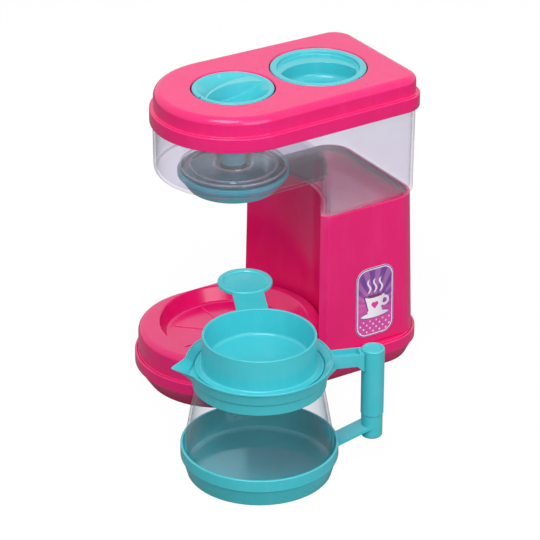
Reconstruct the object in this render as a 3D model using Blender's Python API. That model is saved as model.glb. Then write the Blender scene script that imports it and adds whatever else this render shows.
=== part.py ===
"""Toy coffee maker with its carafe and filter cup, in metres, +Z up.

The origin is on the ground, on the brewing axis, and the machine's round nose points to -Y.
The carafe stands beside the machine, on the same ground, with its filter cup in its collar.
"""
import math
from dataclasses import dataclass, replace

import bmesh
import bpy
from mathutils import Matrix, Vector

# Fits and facets
PLAY = 0.0003
WALL = 0.0020
OVERRUN = 0.0020
SAME_SPOT = 0.000002
ROUND_STEPS = 36
FRONT_STEPS = 16
CORNER_STEPS = 4
FILLET_STEPS = 2
SHARP_ANGLE = math.radians(35)

# Lid, the pink cap of the tank
LID_HALF_WIDTH = 0.0578
LID_SIDE_TAPER = 0.0022
LID_REAR_HALF_WIDTH = LID_HALF_WIDTH - LID_SIDE_TAPER
LID_REAR_Y = 0.1266
LID_CORNER_R = 0.0185
LID_TOP_Z = 0.2200
LID_STEP_DROP = 0.0133
LID_STEP_Z = LID_TOP_Z - LID_STEP_DROP
LID_SKIRT_HEIGHT = 0.0105
LID_SKIRT_BOTTOM_Z = LID_STEP_Z - LID_SKIRT_HEIGHT
LID_SKIRT_WALL = 0.0026
LID_STEP_IN = 0.0027
LID_STEP_R = 0.0009
LID_EDGE_R = 0.0054

# Tank, one clear moulding with a shallow front and a deep rear well
TANK_TOP_DROP = 0.0023
TANK_TOP_Z = LID_STEP_Z - TANK_TOP_DROP
TANK_FRONT_DEPTH = 0.0444
TANK_FLOOR_Z = TANK_TOP_Z - TANK_FRONT_DEPTH
TANK_WELL_DROP = 0.0288
TANK_WELL_Z = TANK_FLOOR_Z - TANK_WELL_DROP
TANK_DRAFT = 0.0006
TANK_SEAM = 0.0001
TANK_EDGE_R = 0.0040
TANK_WELL_EDGE_R = 0.0014
SLEEVE_R = 0.0126
SLEEVE_WALL = 0.0014
SLEEVE_RISE = 0.0006
SLEEVE_TOP_Z = TANK_TOP_Z + SLEEVE_RISE
SLEEVE_FOOT_R = 0.0016
SLEEVE_WINDOW = 0.0060
SLEEVE_WINDOW_RISE = 0.0040
FLOOR_RIB = 0.0016
FLOOR_RIB_RISE = 0.0012
INNER_RIB_R = 0.0294
OUTER_RIB_R = 0.0360
PORT_CIRCLE_R = 0.0060
PORT_R = 0.0015
PORT_COUNT = 3
PORT_TURN_SHARE = 0.5
SPIGOT_DEPTH = 0.0042
SPIGOT_WALL = 0.0016

# Column, the pink rear shell with a hollowed front
COLUMN_FOOT_Z = 0.0233
COLUMN_RIM_Z = TANK_WELL_Z - PLAY
COLUMN_SIDE_IN = 0.0026
COLUMN_TOP_HALF_WIDTH = LID_REAR_HALF_WIDTH - COLUMN_SIDE_IN
COLUMN_SIDE_FLARE = 0.0015
COLUMN_FOOT_HALF_WIDTH = COLUMN_TOP_HALF_WIDTH + COLUMN_SIDE_FLARE
COLUMN_REAR_IN = 0.0048
COLUMN_TOP_REAR_Y = LID_REAR_Y - COLUMN_REAR_IN
COLUMN_REAR_FLARE = 0.0029
COLUMN_FOOT_REAR_Y = COLUMN_TOP_REAR_Y + COLUMN_REAR_FLARE
COLUMN_CORNER_R = 0.0180
COLUMN_POCKET_DEPTH = 0.0106
SCOOP_PAST_TRAY = 0.0077
SCOOP_STEPS = 12
STRIP_IN = 0.0055
STRIP_RUN = 0.0041
COLUMN_BOSS_R = 0.0040
COLUMN_BOSS_RISE = 0.0170
COLUMN_BOSS_IN = 0.0058
COLUMN_BOSS_X = COLUMN_FOOT_HALF_WIDTH - COLUMN_BOSS_IN
COLUMN_BOSS_Y = 0.0950

# Base, a lower pan and an upper cover with the drip tray
BASE_FRONT_Y = -0.0124
BAND_SIDE_OUT = 0.0057
BAND_HALF_WIDTH = COLUMN_FOOT_HALF_WIDTH + BAND_SIDE_OUT
BAND_REAR_OUT = 0.0078
BAND_REAR_Y = COLUMN_FOOT_REAR_Y + BAND_REAR_OUT
BAND_CORNER_R = 0.0357
BAND_TOP_Z = 0.0224
BAND_BOTTOM_Z = 0.0140
BAND_EDGE_R = 0.0008
BAND_DRAFT = 0.0004
PAN_TAPER_Z = 0.0124
PAN_TAPER_IN = 0.0014
PAN_WALL = 0.0018
FOOT_SIDE_IN = 0.0096
FOOT_HALF_WIDTH = BAND_HALF_WIDTH - FOOT_SIDE_IN
FOOT_REAR_IN = 0.0035
FOOT_REAR_Y = BAND_REAR_Y - FOOT_REAR_IN
FOOT_CORNER_R = 0.0300
FOOT_EDGE_R = 0.0010
DECK_Z = COLUMN_FOOT_Z - PLAY
CREST_Z = 0.0410
CREST_EDGE_R = 0.0046
CREST_DRAFT = 0.0006
TRAY_SIDE_IN = 0.0049
TRAY_R = BAND_HALF_WIDTH - TRAY_SIDE_IN
SCOOP_R = TRAY_R + SCOOP_PAST_TRAY
TRAY_RIM_DROP = 0.0030
TRAY_RIM_Z = CREST_Z - TRAY_RIM_DROP
TRAY_FLARE = 0.0034
TRAY_FLOOR_IN = 0.0059
TRAY_FLOOR_R = TRAY_R - TRAY_FLOOR_IN
TRAY_DEPTH = 0.0110
TRAY_FLOOR_Z = CREST_Z - TRAY_DEPTH
TRAY_BEND_OUT = 0.0022
TRAY_BEND_R = TRAY_FLOOR_R + TRAY_BEND_OUT
TRAY_BEND_Z = TRAY_FLOOR_Z + TRAY_BEND_OUT
SPOKE_COUNT = 8
SPOKE_WIDTH = 0.0012
SPOKE_RISE = 0.0007
SPOKE_START_R = 0.0100
SPOKE_END_GAP = 0.0054
SPOKE_END_R = TRAY_FLOOR_R - SPOKE_END_GAP
POST_R = 0.0040
POST_BOSS_R = 0.0055
POST_BOSS_TOP_Z = 0.0060
POST_FRONT_X = 0.0300
POST_FRONT_Y = -0.0340
POST_REAR_X = 0.0360
POST_REAR_Y = 0.1000

# Screws, the same thread everywhere
SCREW_R = 0.0014
SCREW_HEAD_R = 0.0032
SCREW_HEAD_RISE = 0.0020
SCREW_HEAD_EDGE = 0.0008
SCREW_SLOT_WIDTH = 0.0008
SCREW_SLOT_DEPTH = 0.0008
SCREW_BORE_R = SCREW_R + PLAY
SCREW_HEAD_ROOM = 0.0005
BASE_SCREW_LENGTH = 0.0130
COLUMN_SCREW_LENGTH = 0.0120
SCREW_SEAT_Z = 0.0030
SCREW_STEPS = 10

# Front knob and its valve stem
KNOB_R = 0.0285
KNOB_EDGE_R = 0.0007
KNOB_RIM_WIDTH = 0.0040
KNOB_BOWL_R = KNOB_R - KNOB_RIM_WIDTH
KNOB_BOWL_DEPTH = 0.0110
KNOB_RIM_DROP = 0.0008
KNOB_SKIRT_WALL = 0.0018
KNOB_HEIGHT = 0.0113
KNOB_BOTTOM_Z = LID_TOP_Z - KNOB_HEIGHT
KNOB_WELL_GAP = 0.0007
KNOB_BOWL_STEPS = 5
HUB_R = 0.0050
HUB_DROP = 0.0245
HUB_BOTTOM_Z = LID_TOP_Z - HUB_DROP
GRIP_NEAR_R = 0.0370
GRIP_NEAR_X = 0.0300
GRIP_NEAR_Y = 0.0030
GRIP_FAR_R = 0.0560
GRIP_FAR_X = 0.0427
GRIP_FAR_Y = 0.0154
GRIP_TOP_DROP = 0.0008
GRIP_STEPS = 10
NOTCH_WIDTH = 0.0022
NOTCH_DEPTH = 0.0016
NOTCH_RISE = 0.0034
NOTCH_ANGLE = math.radians(-85.2)
STEM_R = 0.0089
STEM_TOP_DROP = 0.0148
STEM_TOP_Z = LID_TOP_Z - STEM_TOP_DROP
STEM_PIN_R = 0.0020
STEM_PIN_END_UP = 0.0006
VALVE_R = 0.0094
VALVE_THICK = 0.0015
SEAL_DROP = 0.0220
SEAL_Z = LID_TOP_Z - SEAL_DROP
SEAL_HEIGHT = 0.0022
SEAL_GROOVE_R = 0.0080

# Rear fill cap with its finger pocket
CAP_Y = 0.0698
CAP_R = 0.0338
CAP_EDGE_R = 0.0008
CAP_RIM_WIDTH = 0.0050
CAP_LEDGE_DROP = 0.0030
CAP_FLANGE = 0.0032
CAP_WELL_GAP = 0.0005
CAP_SPIGOT_IN = 0.0034
CAP_SPIGOT_R = CAP_R - CAP_SPIGOT_IN
CAP_SPIGOT_DROP = 0.0130
CAP_SPIGOT_BOTTOM_Z = LID_TOP_Z - CAP_SPIGOT_DROP
POCKET_R = 0.0292
POCKET_CENTRE_X = 0.0130
POCKET_CENTRE_Y = -0.0057
POCKET_RIM_IN = 0.0072
POCKET_LIMIT_R = CAP_R - POCKET_RIM_IN
POCKET_DEPTH = 0.0155
POCKET_FLOOR_Z = LID_TOP_Z - POCKET_DEPTH
POCKET_STEPS = 12
FILL_COLLAR_WALL = 0.0018
FILL_COLLAR_DROP = 0.0110
FILL_COLLAR_BOTTOM_Z = LID_TOP_Z - FILL_COLLAR_DROP

# Brew basket under the tank floor
BASKET_R = 0.0390
BASKET_TAPER = 0.0075
BASKET_BOTTOM_R = BASKET_R - BASKET_TAPER
BASKET_HEIGHT = 0.0135
BASKET_BOTTOM_Z = TANK_FLOOR_Z - BASKET_HEIGHT
BASKET_FLANGE = 0.0022
BASKET_EDGE_R = 0.0010
BASKET_OUTLET_R = 0.0030
BASKET_RING_DEPTH = 0.0040
BASKET_RING_WALL = 0.0016

# Carafe and handle; the handle's direction is turned from +X towards +Y
CARAFE_X = 0.1275
CARAFE_Y = -0.0586
HANDLE_ANGLE = math.radians(70.2)
SPOUT_ANGLE = HANDLE_ANGLE + math.pi
GLASS_R = 0.0507
GLASS_SHOULDER_Z = 0.0214
GLASS_SLOPE = 0.174
GLASS_TOP_Z = 0.0770
GLASS_TURN_IN = 0.0062
GLASS_BASE_R = GLASS_R - GLASS_TURN_IN
GLASS_WALL = 0.0018
DISH_GAP = 0.0009
DISH_TOP_Z = 0.0216
DISH_STEP_Z = 0.0130
DISH_TAPER = 0.0045
DISH_FLOOR = 0.0022
DISH_LIP = 0.0017
DISH_R = GLASS_R + DISH_GAP + DISH_LIP
DISH_FOOT_R = DISH_R - DISH_TAPER
DISH_EDGE_R = 0.0012
GLASS_LOW_SHARES = (0.16, 0.32, 0.55, 0.80)
COLLAR_BOTTOM_Z = 0.0660
COLLAR_TOP_Z = 0.0840
COLLAR_RIM_IN = 0.0015
COLLAR_RIM_R = GLASS_R - COLLAR_RIM_IN
COLLAR_RIM_WALL = 0.0013
COLLAR_FOOT_WALL = 0.0015
COLLAR_STEP_Z = 0.0740
COLLAR_STEP_OUT = 0.0007
COLLAR_LIP_IN = 0.0106
COLLAR_LIP_R = COLLAR_RIM_R - COLLAR_LIP_IN
COLLAR_LIP = 0.0012
COLLAR_STEPS = 48
SPOUT_REACH = 0.0108
SPOUT_HALF_ANGLE = math.radians(17)
SPOUT_WIDTH_POWER = 1.2
SPOUT_RISE_POWER = 1.5
TUBE_FROM_GLASS = 0.0272
TUBE_OFFSET = GLASS_R + TUBE_FROM_GLASS
TUBE_R = 0.0082
TUBE_TOP_Z = 0.0838
TUBE_JOINT_Z = 0.0344
TUBE_BOTTOM_Z = 0.0166
TUBE_WALL = 0.0018
TUBE_STEP = 0.0009
TUBE_EDGE_R = 0.0018
TUBE_DISH_R = 0.0055
TUBE_DISH_DEPTH = 0.0006
TUBE_SPIGOT_RISE = 0.0220
TUBE_STEPS = 16
BRIDGE_HALF_WIDTH = 0.0055
BRIDGE_TOP_Z = 0.0820
BRIDGE_BOTTOM_Z = 0.0734
BRIDGE_RAIL = 0.0016
BRIDGE_GROOVE_DEPTH = 0.0030
GUSSET_OUT = 0.0023
GUSSET_REACH = COLLAR_RIM_R + GUSSET_OUT
GUSSET_FOOT_Z = 0.0664
CORNER_OUT = 0.0168
CORNER_REACH = COLLAR_RIM_R + CORNER_OUT
CORNER_DROP = 0.0040
STRAP_HALF_WIDTH = 0.0075
STRAP_THICK = 0.0026
STRAP_START_Z = 0.0172
STRAP_SLOPE = 0.435

# Filter cup, which also closes the carafe
CUP_RIM_IN = 0.0111
CUP_RIM_R = COLLAR_RIM_R - CUP_RIM_IN
CUP_FLARE = 0.0006
CUP_FOOT_R = CUP_RIM_R + CUP_FLARE
CUP_HEIGHT = 0.0185
CUP_FLOOR_Z = COLLAR_TOP_Z
CUP_TOP_Z = CUP_FLOOR_Z + CUP_HEIGHT
CUP_FLOOR = 0.0018
CUP_WALL = 0.0017
CUP_EDGE_R = 0.0004
CUP_FLANGE_IN = 0.0062
CUP_FLANGE_R = COLLAR_RIM_R - CUP_FLANGE_IN
CUP_FLANGE = 0.0015
CUP_PLUG_DROP = 0.0120
CUP_PLUG_BOTTOM_Z = CUP_FLOOR_Z - CUP_PLUG_DROP
TAB_ANGLE = math.radians(155)
TAB_HALF_WIDTH = 0.01075
TAB_RUN = 0.0419
TAB_REACH = CUP_RIM_R + TAB_RUN
TAB_DROP = 0.0017
TAB_MIDDLE_Z = CUP_TOP_Z - TAB_DROP
TAB_THICK = 0.0018
DISC_R = 0.0189
DISC_THICK = 0.0030
DISC_RECESS_R = 0.0149
DISC_RECESS = 0.0006
DISC_EDGE_R = 0.0005

# Side label, a thin plate stuck on the column's right side
LABEL_CENTRE_Y = 0.0840
LABEL_CENTRE_Z = 0.0560
LABEL_HALF_WIDTH = 0.0160
LABEL_HALF_HEIGHT = 0.0270
LABEL_CORNER_R = 0.0090
LABEL_THICK = 0.0003
LABEL_CORNER_STEPS = 3


@dataclass(frozen=True)
class Plan:
    """An outline seen from above: a half circle in front, straight sides, two rounded rear corners."""

    half_width: float
    front_y: float
    rear_half_width: float
    rear_y: float
    corner_r: float

    def inset(self, distance):
        """The same outline, moved inwards by a distance."""
        return Plan(self.half_width - distance, self.front_y, self.rear_half_width - distance,
                    self.rear_y - distance, self.corner_r - distance)

    def towards(self, other, share):
        """An outline between this one, at share 0, and another, at share 1."""
        mixed = {name: getattr(self, name) + (getattr(other, name) - getattr(self, name)) * share
                 for name in self.__dataclass_fields__}
        return Plan(**mixed)

    def ring(self, z):
        """The outline's points at a height, counterclockwise from above."""
        points = []
        for step in range(FRONT_STEPS + 1):
            angle = math.pi * (1 + step / FRONT_STEPS)
            points.append((self.half_width * math.cos(angle),
                           self.front_y + self.half_width * math.sin(angle)))
        for side in (1, -1):
            for step in range(CORNER_STEPS + 1):
                turn = step / CORNER_STEPS if side > 0 else 1 - step / CORNER_STEPS
                angle = math.pi / 2 * turn
                x = self.rear_half_width - self.corner_r + self.corner_r * math.cos(angle)
                y = self.rear_y - self.corner_r + self.corner_r * math.sin(angle)
                points.append((side * x, y))
        return [Vector((x, y, z)) for x, y in points]


@dataclass(frozen=True)
class Crescent:
    """An outline with a hollowed front, straight sides and two rounded rear corners."""

    half_width: float
    rear_y: float
    corner_r: float
    scoop_r: float = SCOOP_R

    def inset(self, distance):
        """The same outline, moved inwards by a distance."""
        return Crescent(self.half_width - distance, self.rear_y - distance,
                        self.corner_r - distance, self.scoop_r + distance)

    def ring(self, z):
        """The outline's points at a height, counterclockwise from above."""
        tip_x = self.half_width - STRIP_IN
        tip_angle = math.acos(tip_x / self.scoop_r)
        points = []
        for step in range(SCOOP_STEPS + 1):
            angle = math.pi - tip_angle + (2 * tip_angle - math.pi) * step / SCOOP_STEPS
            points.append((self.scoop_r * math.cos(angle), self.scoop_r * math.sin(angle)))
        tip_y = points[-1][1]
        points.append((self.half_width, tip_y + STRIP_RUN))
        for side in (1, -1):
            for step in range(CORNER_STEPS + 1):
                turn = step / CORNER_STEPS if side > 0 else 1 - step / CORNER_STEPS
                angle = math.pi / 2 * turn
                x = self.half_width - self.corner_r + self.corner_r * math.cos(angle)
                y = self.rear_y - self.corner_r + self.corner_r * math.sin(angle)
                points.append((side * x, y))
        points.append((-self.half_width, tip_y + STRIP_RUN))
        return [Vector((x, y, z)) for x, y in points]


@dataclass(frozen=True)
class TrayPlan:
    """The raised front of the base: a half circle in front, short sides and an arc behind."""

    half_width: float
    front_y: float
    rear_r: float

    def inset(self, distance):
        """The same outline, moved inwards by a distance."""
        return TrayPlan(self.half_width - distance, self.front_y, self.rear_r - distance)

    def ring(self, z):
        """The outline's points at a height, counterclockwise from above."""
        points = []
        for step in range(FRONT_STEPS + 1):
            angle = math.pi * (1 + step / FRONT_STEPS)
            points.append((self.half_width * math.cos(angle),
                           self.front_y + self.half_width * math.sin(angle)))
        start = math.acos(self.half_width / self.rear_r)
        for step in range(FRONT_STEPS + 1):
            angle = start + (math.pi - 2 * start) * step / FRONT_STEPS
            points.append((self.rear_r * math.cos(angle), self.rear_r * math.sin(angle)))
        return [Vector((x, y, z)) for x, y in points]


LID_PLAN = Plan(LID_HALF_WIDTH, 0, LID_REAR_HALF_WIDTH, LID_REAR_Y, LID_CORNER_R)
TANK_PLAN = LID_PLAN.inset(LID_SKIRT_WALL + PLAY)
COLUMN_TOP = Crescent(COLUMN_TOP_HALF_WIDTH, COLUMN_TOP_REAR_Y, COLUMN_CORNER_R)
COLUMN_FOOT = Crescent(COLUMN_FOOT_HALF_WIDTH, COLUMN_FOOT_REAR_Y, COLUMN_CORNER_R)
BAND_PLAN = Plan(BAND_HALF_WIDTH, BASE_FRONT_Y, BAND_HALF_WIDTH, BAND_REAR_Y, BAND_CORNER_R)
FOOT_PLAN = Plan(FOOT_HALF_WIDTH, BASE_FRONT_Y, FOOT_HALF_WIDTH, FOOT_REAR_Y, FOOT_CORNER_R)
COVER_PLAN = BAND_PLAN.inset(PAN_WALL + PLAY)
TRAY_PLAN = TrayPlan(COVER_PLAN.half_width, BASE_FRONT_Y, SCOOP_R - PLAY)
FRONT_POSTS = [(side * POST_FRONT_X, POST_FRONT_Y) for side in (1, -1)]
REAR_POSTS = [(side * POST_REAR_X, POST_REAR_Y) for side in (1, -1)]
COLUMN_BOSSES = [(side * COLUMN_BOSS_X, COLUMN_BOSS_Y) for side in (1, -1)]


def clear_scene():
    """Remove the objects that the scene starts with."""
    for thing in list(bpy.data.objects):
        bpy.data.objects.remove(thing, do_unlink=True)


def make_material(name, colour, roughness, metallic=0.0, alpha=1.0):
    """A Principled material of one plain colour."""
    finish = bpy.data.materials.new(name)
    finish.use_nodes = True
    shader = finish.node_tree.nodes["Principled BSDF"]
    shader.inputs["Base Color"].default_value = (*colour, 1.0)
    shader.inputs["Roughness"].default_value = roughness
    shader.inputs["Metallic"].default_value = metallic
    shader.inputs["Alpha"].default_value = alpha
    return finish


def quarter_round(radius):
    """Pairs of inset and drop that round an edge, from the side face up to the top face."""
    pairs = []
    for step in range(FILLET_STEPS + 1):
        angle = math.pi / 2 * step / FILLET_STEPS
        pairs.append((radius * (1 - math.cos(angle)), radius * (1 - math.sin(angle))))
    return pairs


def solid_object(mesh_data):
    """A scene object that holds a closed mesh whose faces point outwards."""
    bmesh.ops.recalc_face_normals(mesh_data, faces=mesh_data.faces)
    mesh = bpy.data.meshes.new("solid")
    mesh_data.to_mesh(mesh)
    mesh_data.free()
    thing = bpy.data.objects.new("solid", mesh)
    bpy.context.scene.collection.objects.link(thing)
    return thing


def skin(rings, looped=False):
    """A solid skinned over outlines of equal point counts; a looped one joins its last to its first."""
    mesh_data = bmesh.new()
    loops = [[mesh_data.verts.new(point) for point in ring] for ring in rings]
    pairs = list(zip(loops, loops[1:]))
    if looped:
        pairs.append((loops[-1], loops[0]))
    else:
        mesh_data.faces.new(loops[0])
        mesh_data.faces.new(loops[-1])
    for lower, upper in pairs:
        for index, corner in enumerate(lower):
            following = (index + 1) % len(lower)
            mesh_data.faces.new((corner, lower[following], upper[following], upper[index]))
    return solid_object(mesh_data)


def turned(profile, centre=(0, 0), steps=ROUND_STEPS, start=0, reach=None):
    """A turned solid; profile lists radius and height, and one without the axis is a closed loop.

    start is the angle of the first corner. reach, if given, adds a radius for each angle and
    height, which draws a spout out of the round.
    """
    mesh_data = bmesh.new()
    angles = [start + math.tau * step / steps for step in range(steps)]
    loops = []
    for radius, z in profile:
        if radius == 0:
            loops.append([mesh_data.verts.new((*centre, z))])
            continue
        loop = []
        for angle in angles:
            full = radius + (reach(angle, z) if reach else 0)
            loop.append(mesh_data.verts.new((centre[0] + full * math.cos(angle),
                                             centre[1] + full * math.sin(angle), z)))
        loops.append(loop)
    pairs = list(zip(loops, loops[1:]))
    if all(radius > 0 for radius, _ in profile):
        pairs.append((loops[-1], loops[0]))
    for lower, upper in pairs:
        for index in range(steps):
            following = (index + 1) % steps
            if len(lower) == 1 and len(upper) == 1:
                continue
            if len(lower) == 1:
                corners = (lower[0], upper[following], upper[index])
            elif len(upper) == 1:
                corners = (lower[index], lower[following], upper[0])
            else:
                corners = (lower[index], lower[following], upper[following], upper[index])
            mesh_data.faces.new(corners)
    return solid_object(mesh_data)


def prism(outline, low_z, high_z):
    """A straight solid over a list of x, y points."""
    return skin([[Vector((x, y, z)) for x, y in outline] for z in (low_z, high_z)])


def side_prism(outline, half_width):
    """A solid whose outline of x, z points is swept from -half_width to +half_width along Y."""
    return skin([[Vector((x, side * half_width, z)) for x, z in outline] for side in (-1, 1)])


def block(low, high):
    """A box between two corners."""
    outline = [(low[0], low[1]), (high[0], low[1]), (high[0], high[1]), (low[0], high[1])]
    return prism(outline, low[2], high[2])


def moved(thing, matrix):
    """The same object with its mesh moved by a matrix."""
    thing.data.transform(matrix)
    return thing


def weld(mesh):
    """Join corners of a mesh that fall on the same spot."""
    mesh_data = bmesh.new()
    mesh_data.from_mesh(mesh)
    bmesh.ops.remove_doubles(mesh_data, verts=mesh_data.verts, dist=SAME_SPOT)
    mesh_data.to_mesh(mesh)
    mesh_data.free()


def combined(solid, tools, operation):
    """The solid after an exact Boolean with each tool; the tools are used up."""
    for tool in tools:
        modifier = solid.modifiers.new("shape", "BOOLEAN")
        modifier.operation = operation
        modifier.solver = "EXACT"
        modifier.object = tool
        graph = bpy.context.evaluated_depsgraph_get()
        graph.update()
        mesh = bpy.data.meshes.new_from_object(solid.evaluated_get(graph))
        solid.modifiers.clear()
        solid.data = mesh
        bpy.data.objects.remove(tool, do_unlink=True)
        weld(mesh)
    return solid


def joined(solid, *tools):
    """The union of the solids."""
    return combined(solid, tools, "UNION")


def less(solid, *tools):
    """The first solid without the others."""
    return combined(solid, tools, "DIFFERENCE")


def shared(solid, *tools):
    """What the solids have in common."""
    return combined(solid, tools, "INTERSECT")


def place(thing, name, finish, parent=None):
    """Name a finished object, give it its material and hang it on its parent empty."""
    thing.name = name
    thing.data.name = name
    thing.data.materials.clear()
    thing.data.materials.append(finish)
    thing.data.shade_smooth()
    thing.data.set_sharp_from_angle(angle=SHARP_ANGLE)
    if parent:
        thing.data.transform(Matrix.Translation(-parent.location))
        thing.parent = parent
    return thing


def axis_empty(name, location):
    """An empty on a joint's axis, which carries the pieces that move together."""
    carrier = bpy.data.objects.new(name, None)
    carrier.location = location
    bpy.context.scene.collection.objects.link(carrier)
    return carrier


def cylinder(radius, low_z, high_z, centre=(0, 0), steps=ROUND_STEPS):
    """A plain round bar along Z."""
    return turned([(0, low_z), (radius, low_z), (radius, high_z), (0, high_z)], centre, steps)


def bars(radius, low_z, high_z, centres):
    """One round bar at each centre, as a list."""
    return [cylinder(radius, low_z, high_z, centre, SCREW_STEPS) for centre in centres]


def rounded_rings(plan, bottom_z, top_z, edge_r):
    """Outlines of a wall whose top edge is rounded, from the bottom up."""
    rings = [plan.ring(bottom_z)]
    rings += [plan.inset(inset).ring(top_z - drop) for inset, drop in quarter_round(edge_r)]
    return rings


def rising_rings(plan, bottom_z, edge_r):
    """Outlines of a rounded bottom edge, from the bottom face up to the wall."""
    return [plan.inset(inset).ring(bottom_z + drop) for inset, drop in reversed(quarter_round(edge_r))]


def make_lid(finish):
    """The lid: a stepped skirt, a well for the knob and a rimmed hole for the fill cap."""
    upper = LID_PLAN.inset(LID_STEP_IN)
    seat_z = TANK_TOP_Z + PLAY
    rings = [upper.inset(WALL).ring(LID_TOP_Z - WALL), upper.inset(WALL).ring(seat_z),
             LID_PLAN.inset(LID_SKIRT_WALL).ring(seat_z),
             LID_PLAN.inset(LID_SKIRT_WALL).ring(LID_SKIRT_BOTTOM_Z)]
    rings += rounded_rings(LID_PLAN, LID_SKIRT_BOTTOM_Z, LID_STEP_Z, LID_STEP_R)
    rings += rounded_rings(upper, LID_STEP_Z, LID_TOP_Z, LID_EDGE_R)
    well_r = KNOB_R + KNOB_WELL_GAP
    well_floor_z = KNOB_BOTTOM_Z - PLAY
    hole_r = SLEEVE_R + KNOB_WELL_GAP
    rim_r = CAP_R + CAP_WELL_GAP
    fill_r = CAP_SPIGOT_R + PLAY
    ledge_z = LID_TOP_Z - CAP_FLANGE - PLAY
    inside_z = LID_TOP_Z - WALL / 2
    knob_cup = cylinder(well_r + WALL, well_floor_z - WALL, inside_z)
    cap_cup = turned([(0, FILL_COLLAR_BOTTOM_Z), (fill_r + FILL_COLLAR_WALL, FILL_COLLAR_BOTTOM_Z),
                      (fill_r + FILL_COLLAR_WALL, ledge_z - WALL), (rim_r + WALL, ledge_z - WALL),
                      (rim_r + WALL, inside_z), (0, inside_z)], (0, CAP_Y))
    knob_hole = turned([(0, well_floor_z - WALL - OVERRUN), (hole_r, well_floor_z - WALL - OVERRUN),
                        (hole_r, well_floor_z), (well_r, well_floor_z),
                        (well_r, LID_TOP_Z + OVERRUN), (0, LID_TOP_Z + OVERRUN)])
    cap_hole = turned([(0, FILL_COLLAR_BOTTOM_Z - OVERRUN), (fill_r, FILL_COLLAR_BOTTOM_Z - OVERRUN),
                       (fill_r, ledge_z), (rim_r, ledge_z),
                       (rim_r, LID_TOP_Z + OVERRUN), (0, LID_TOP_Z + OVERRUN)], (0, CAP_Y))
    lid = less(joined(skin(rings), knob_cup, cap_cup), knob_hole, cap_hole)
    return place(lid, "lid", finish)


def tank_plan(thickness, z):
    """The tank's outline at a height, inside its wall by a thickness; it narrows downwards."""
    share = (TANK_TOP_Z - z) / (TANK_TOP_Z - TANK_WELL_Z)
    return TANK_PLAN.inset(thickness + TANK_DRAFT * share)


def front_space(thickness):
    """The room for the basket and carafe, before the tank's hollowed rear wall."""
    rear = COLUMN_TOP.inset(thickness).ring(0)
    arc = [(point.x, point.y) for point in rear[:SCOOP_STEPS + 1]]
    strip = rear[SCOOP_STEPS + 1]
    side_x = LID_HALF_WIDTH + OVERRUN
    outline = [(-side_x, strip.y), (-side_x, -side_x), (side_x, -side_x), (side_x, strip.y),
               (strip.x, strip.y)] + list(reversed(arc)) + [(-strip.x, strip.y)]
    return prism(outline, TANK_WELL_Z - OVERRUN, TANK_TOP_Z)


def tank_body(thickness, well_z, floor_z, top_z):
    """The tank's outer or inner form: a shallow front part joined to a deep rear well."""
    upper_rings = rising_rings(tank_plan(thickness, floor_z), floor_z, TANK_EDGE_R)
    upper_rings.append(TANK_PLAN.inset(thickness).ring(top_z))
    joint_z = floor_z + TANK_EDGE_R + OVERRUN
    well_rings = rising_rings(tank_plan(thickness + TANK_SEAM, well_z), well_z, TANK_WELL_EDGE_R)
    well_rings.append(tank_plan(thickness + TANK_SEAM, joint_z).ring(joint_z))
    well = less(skin(well_rings), front_space(thickness))
    return joined(skin(upper_rings), well)


def ring_wall(inner_r, wall, low_z, high_z, centre=(0, 0)):
    """A plain round wall."""
    outer_r = inner_r + wall
    return turned([(outer_r, high_z), (outer_r, low_z), (inner_r, low_z), (inner_r, high_z)], centre)


def make_tank(finish):
    """The clear tank with its stem sleeve, floor ribs, basket ring and column spigot."""
    body = tank_body(0, TANK_WELL_Z, TANK_FLOOR_Z, TANK_TOP_Z)
    inside = tank_body(WALL, TANK_WELL_Z + WALL, TANK_FLOOR_Z + WALL, TANK_TOP_Z + OVERRUN)
    tank = less(body, inside)
    floor_top = TANK_FLOOR_Z + WALL
    buried_z = TANK_FLOOR_Z + WALL / 2
    bore_r = SLEEVE_R - SLEEVE_WALL
    sleeve = turned([(SLEEVE_R, SLEEVE_TOP_Z), (SLEEVE_R, floor_top + SLEEVE_FOOT_R),
                     (SLEEVE_R + SLEEVE_FOOT_R, floor_top), (SLEEVE_R + SLEEVE_FOOT_R, buried_z),
                     (bore_r, buried_z), (bore_r, SLEEVE_TOP_Z)])
    inner_rib = ring_wall(INNER_RIB_R, FLOOR_RIB, buried_z, floor_top + FLOOR_RIB_RISE)
    outer_rib = ring_wall(OUTER_RIB_R, FLOOR_RIB, buried_z, floor_top + FLOOR_RIB_RISE)
    ring_r = BASKET_R - BASKET_FLANGE - PLAY - BASKET_RING_WALL
    basket_ring = ring_wall(ring_r, BASKET_RING_WALL, TANK_FLOOR_Z - BASKET_RING_DEPTH, buried_z)
    outer = COLUMN_TOP.inset(WALL + 2 * PLAY)
    inner = outer.inset(SPIGOT_WALL)
    low_z = TANK_WELL_Z - SPIGOT_DEPTH
    high_z = TANK_WELL_Z + WALL / 2
    spigot = skin([outer.ring(low_z), outer.ring(high_z), inner.ring(high_z), inner.ring(low_z)], True)
    tank = joined(tank, sleeve, inner_rib, outer_rib, basket_ring, spigot)
    low_cut = TANK_FLOOR_Z - OVERRUN
    high_cut = floor_top + OVERRUN
    angles = [math.tau * port / PORT_COUNT for port in range(PORT_COUNT)]
    ports = [(PORT_CIRCLE_R * math.cos(angle), PORT_CIRCLE_R * math.sin(angle)) for angle in angles]
    holes = bars(PORT_R, low_cut, high_cut, ports)
    holes += bars(STEM_PIN_R + PLAY, low_cut, high_cut, [(0, 0)])
    window = block((-SLEEVE_WINDOW / 2, 0, floor_top),
                   (SLEEVE_WINDOW / 2, SLEEVE_R + SLEEVE_FOOT_R + OVERRUN, floor_top + SLEEVE_WINDOW_RISE))
    return place(less(tank, window, *holes), "tank", finish)


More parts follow.
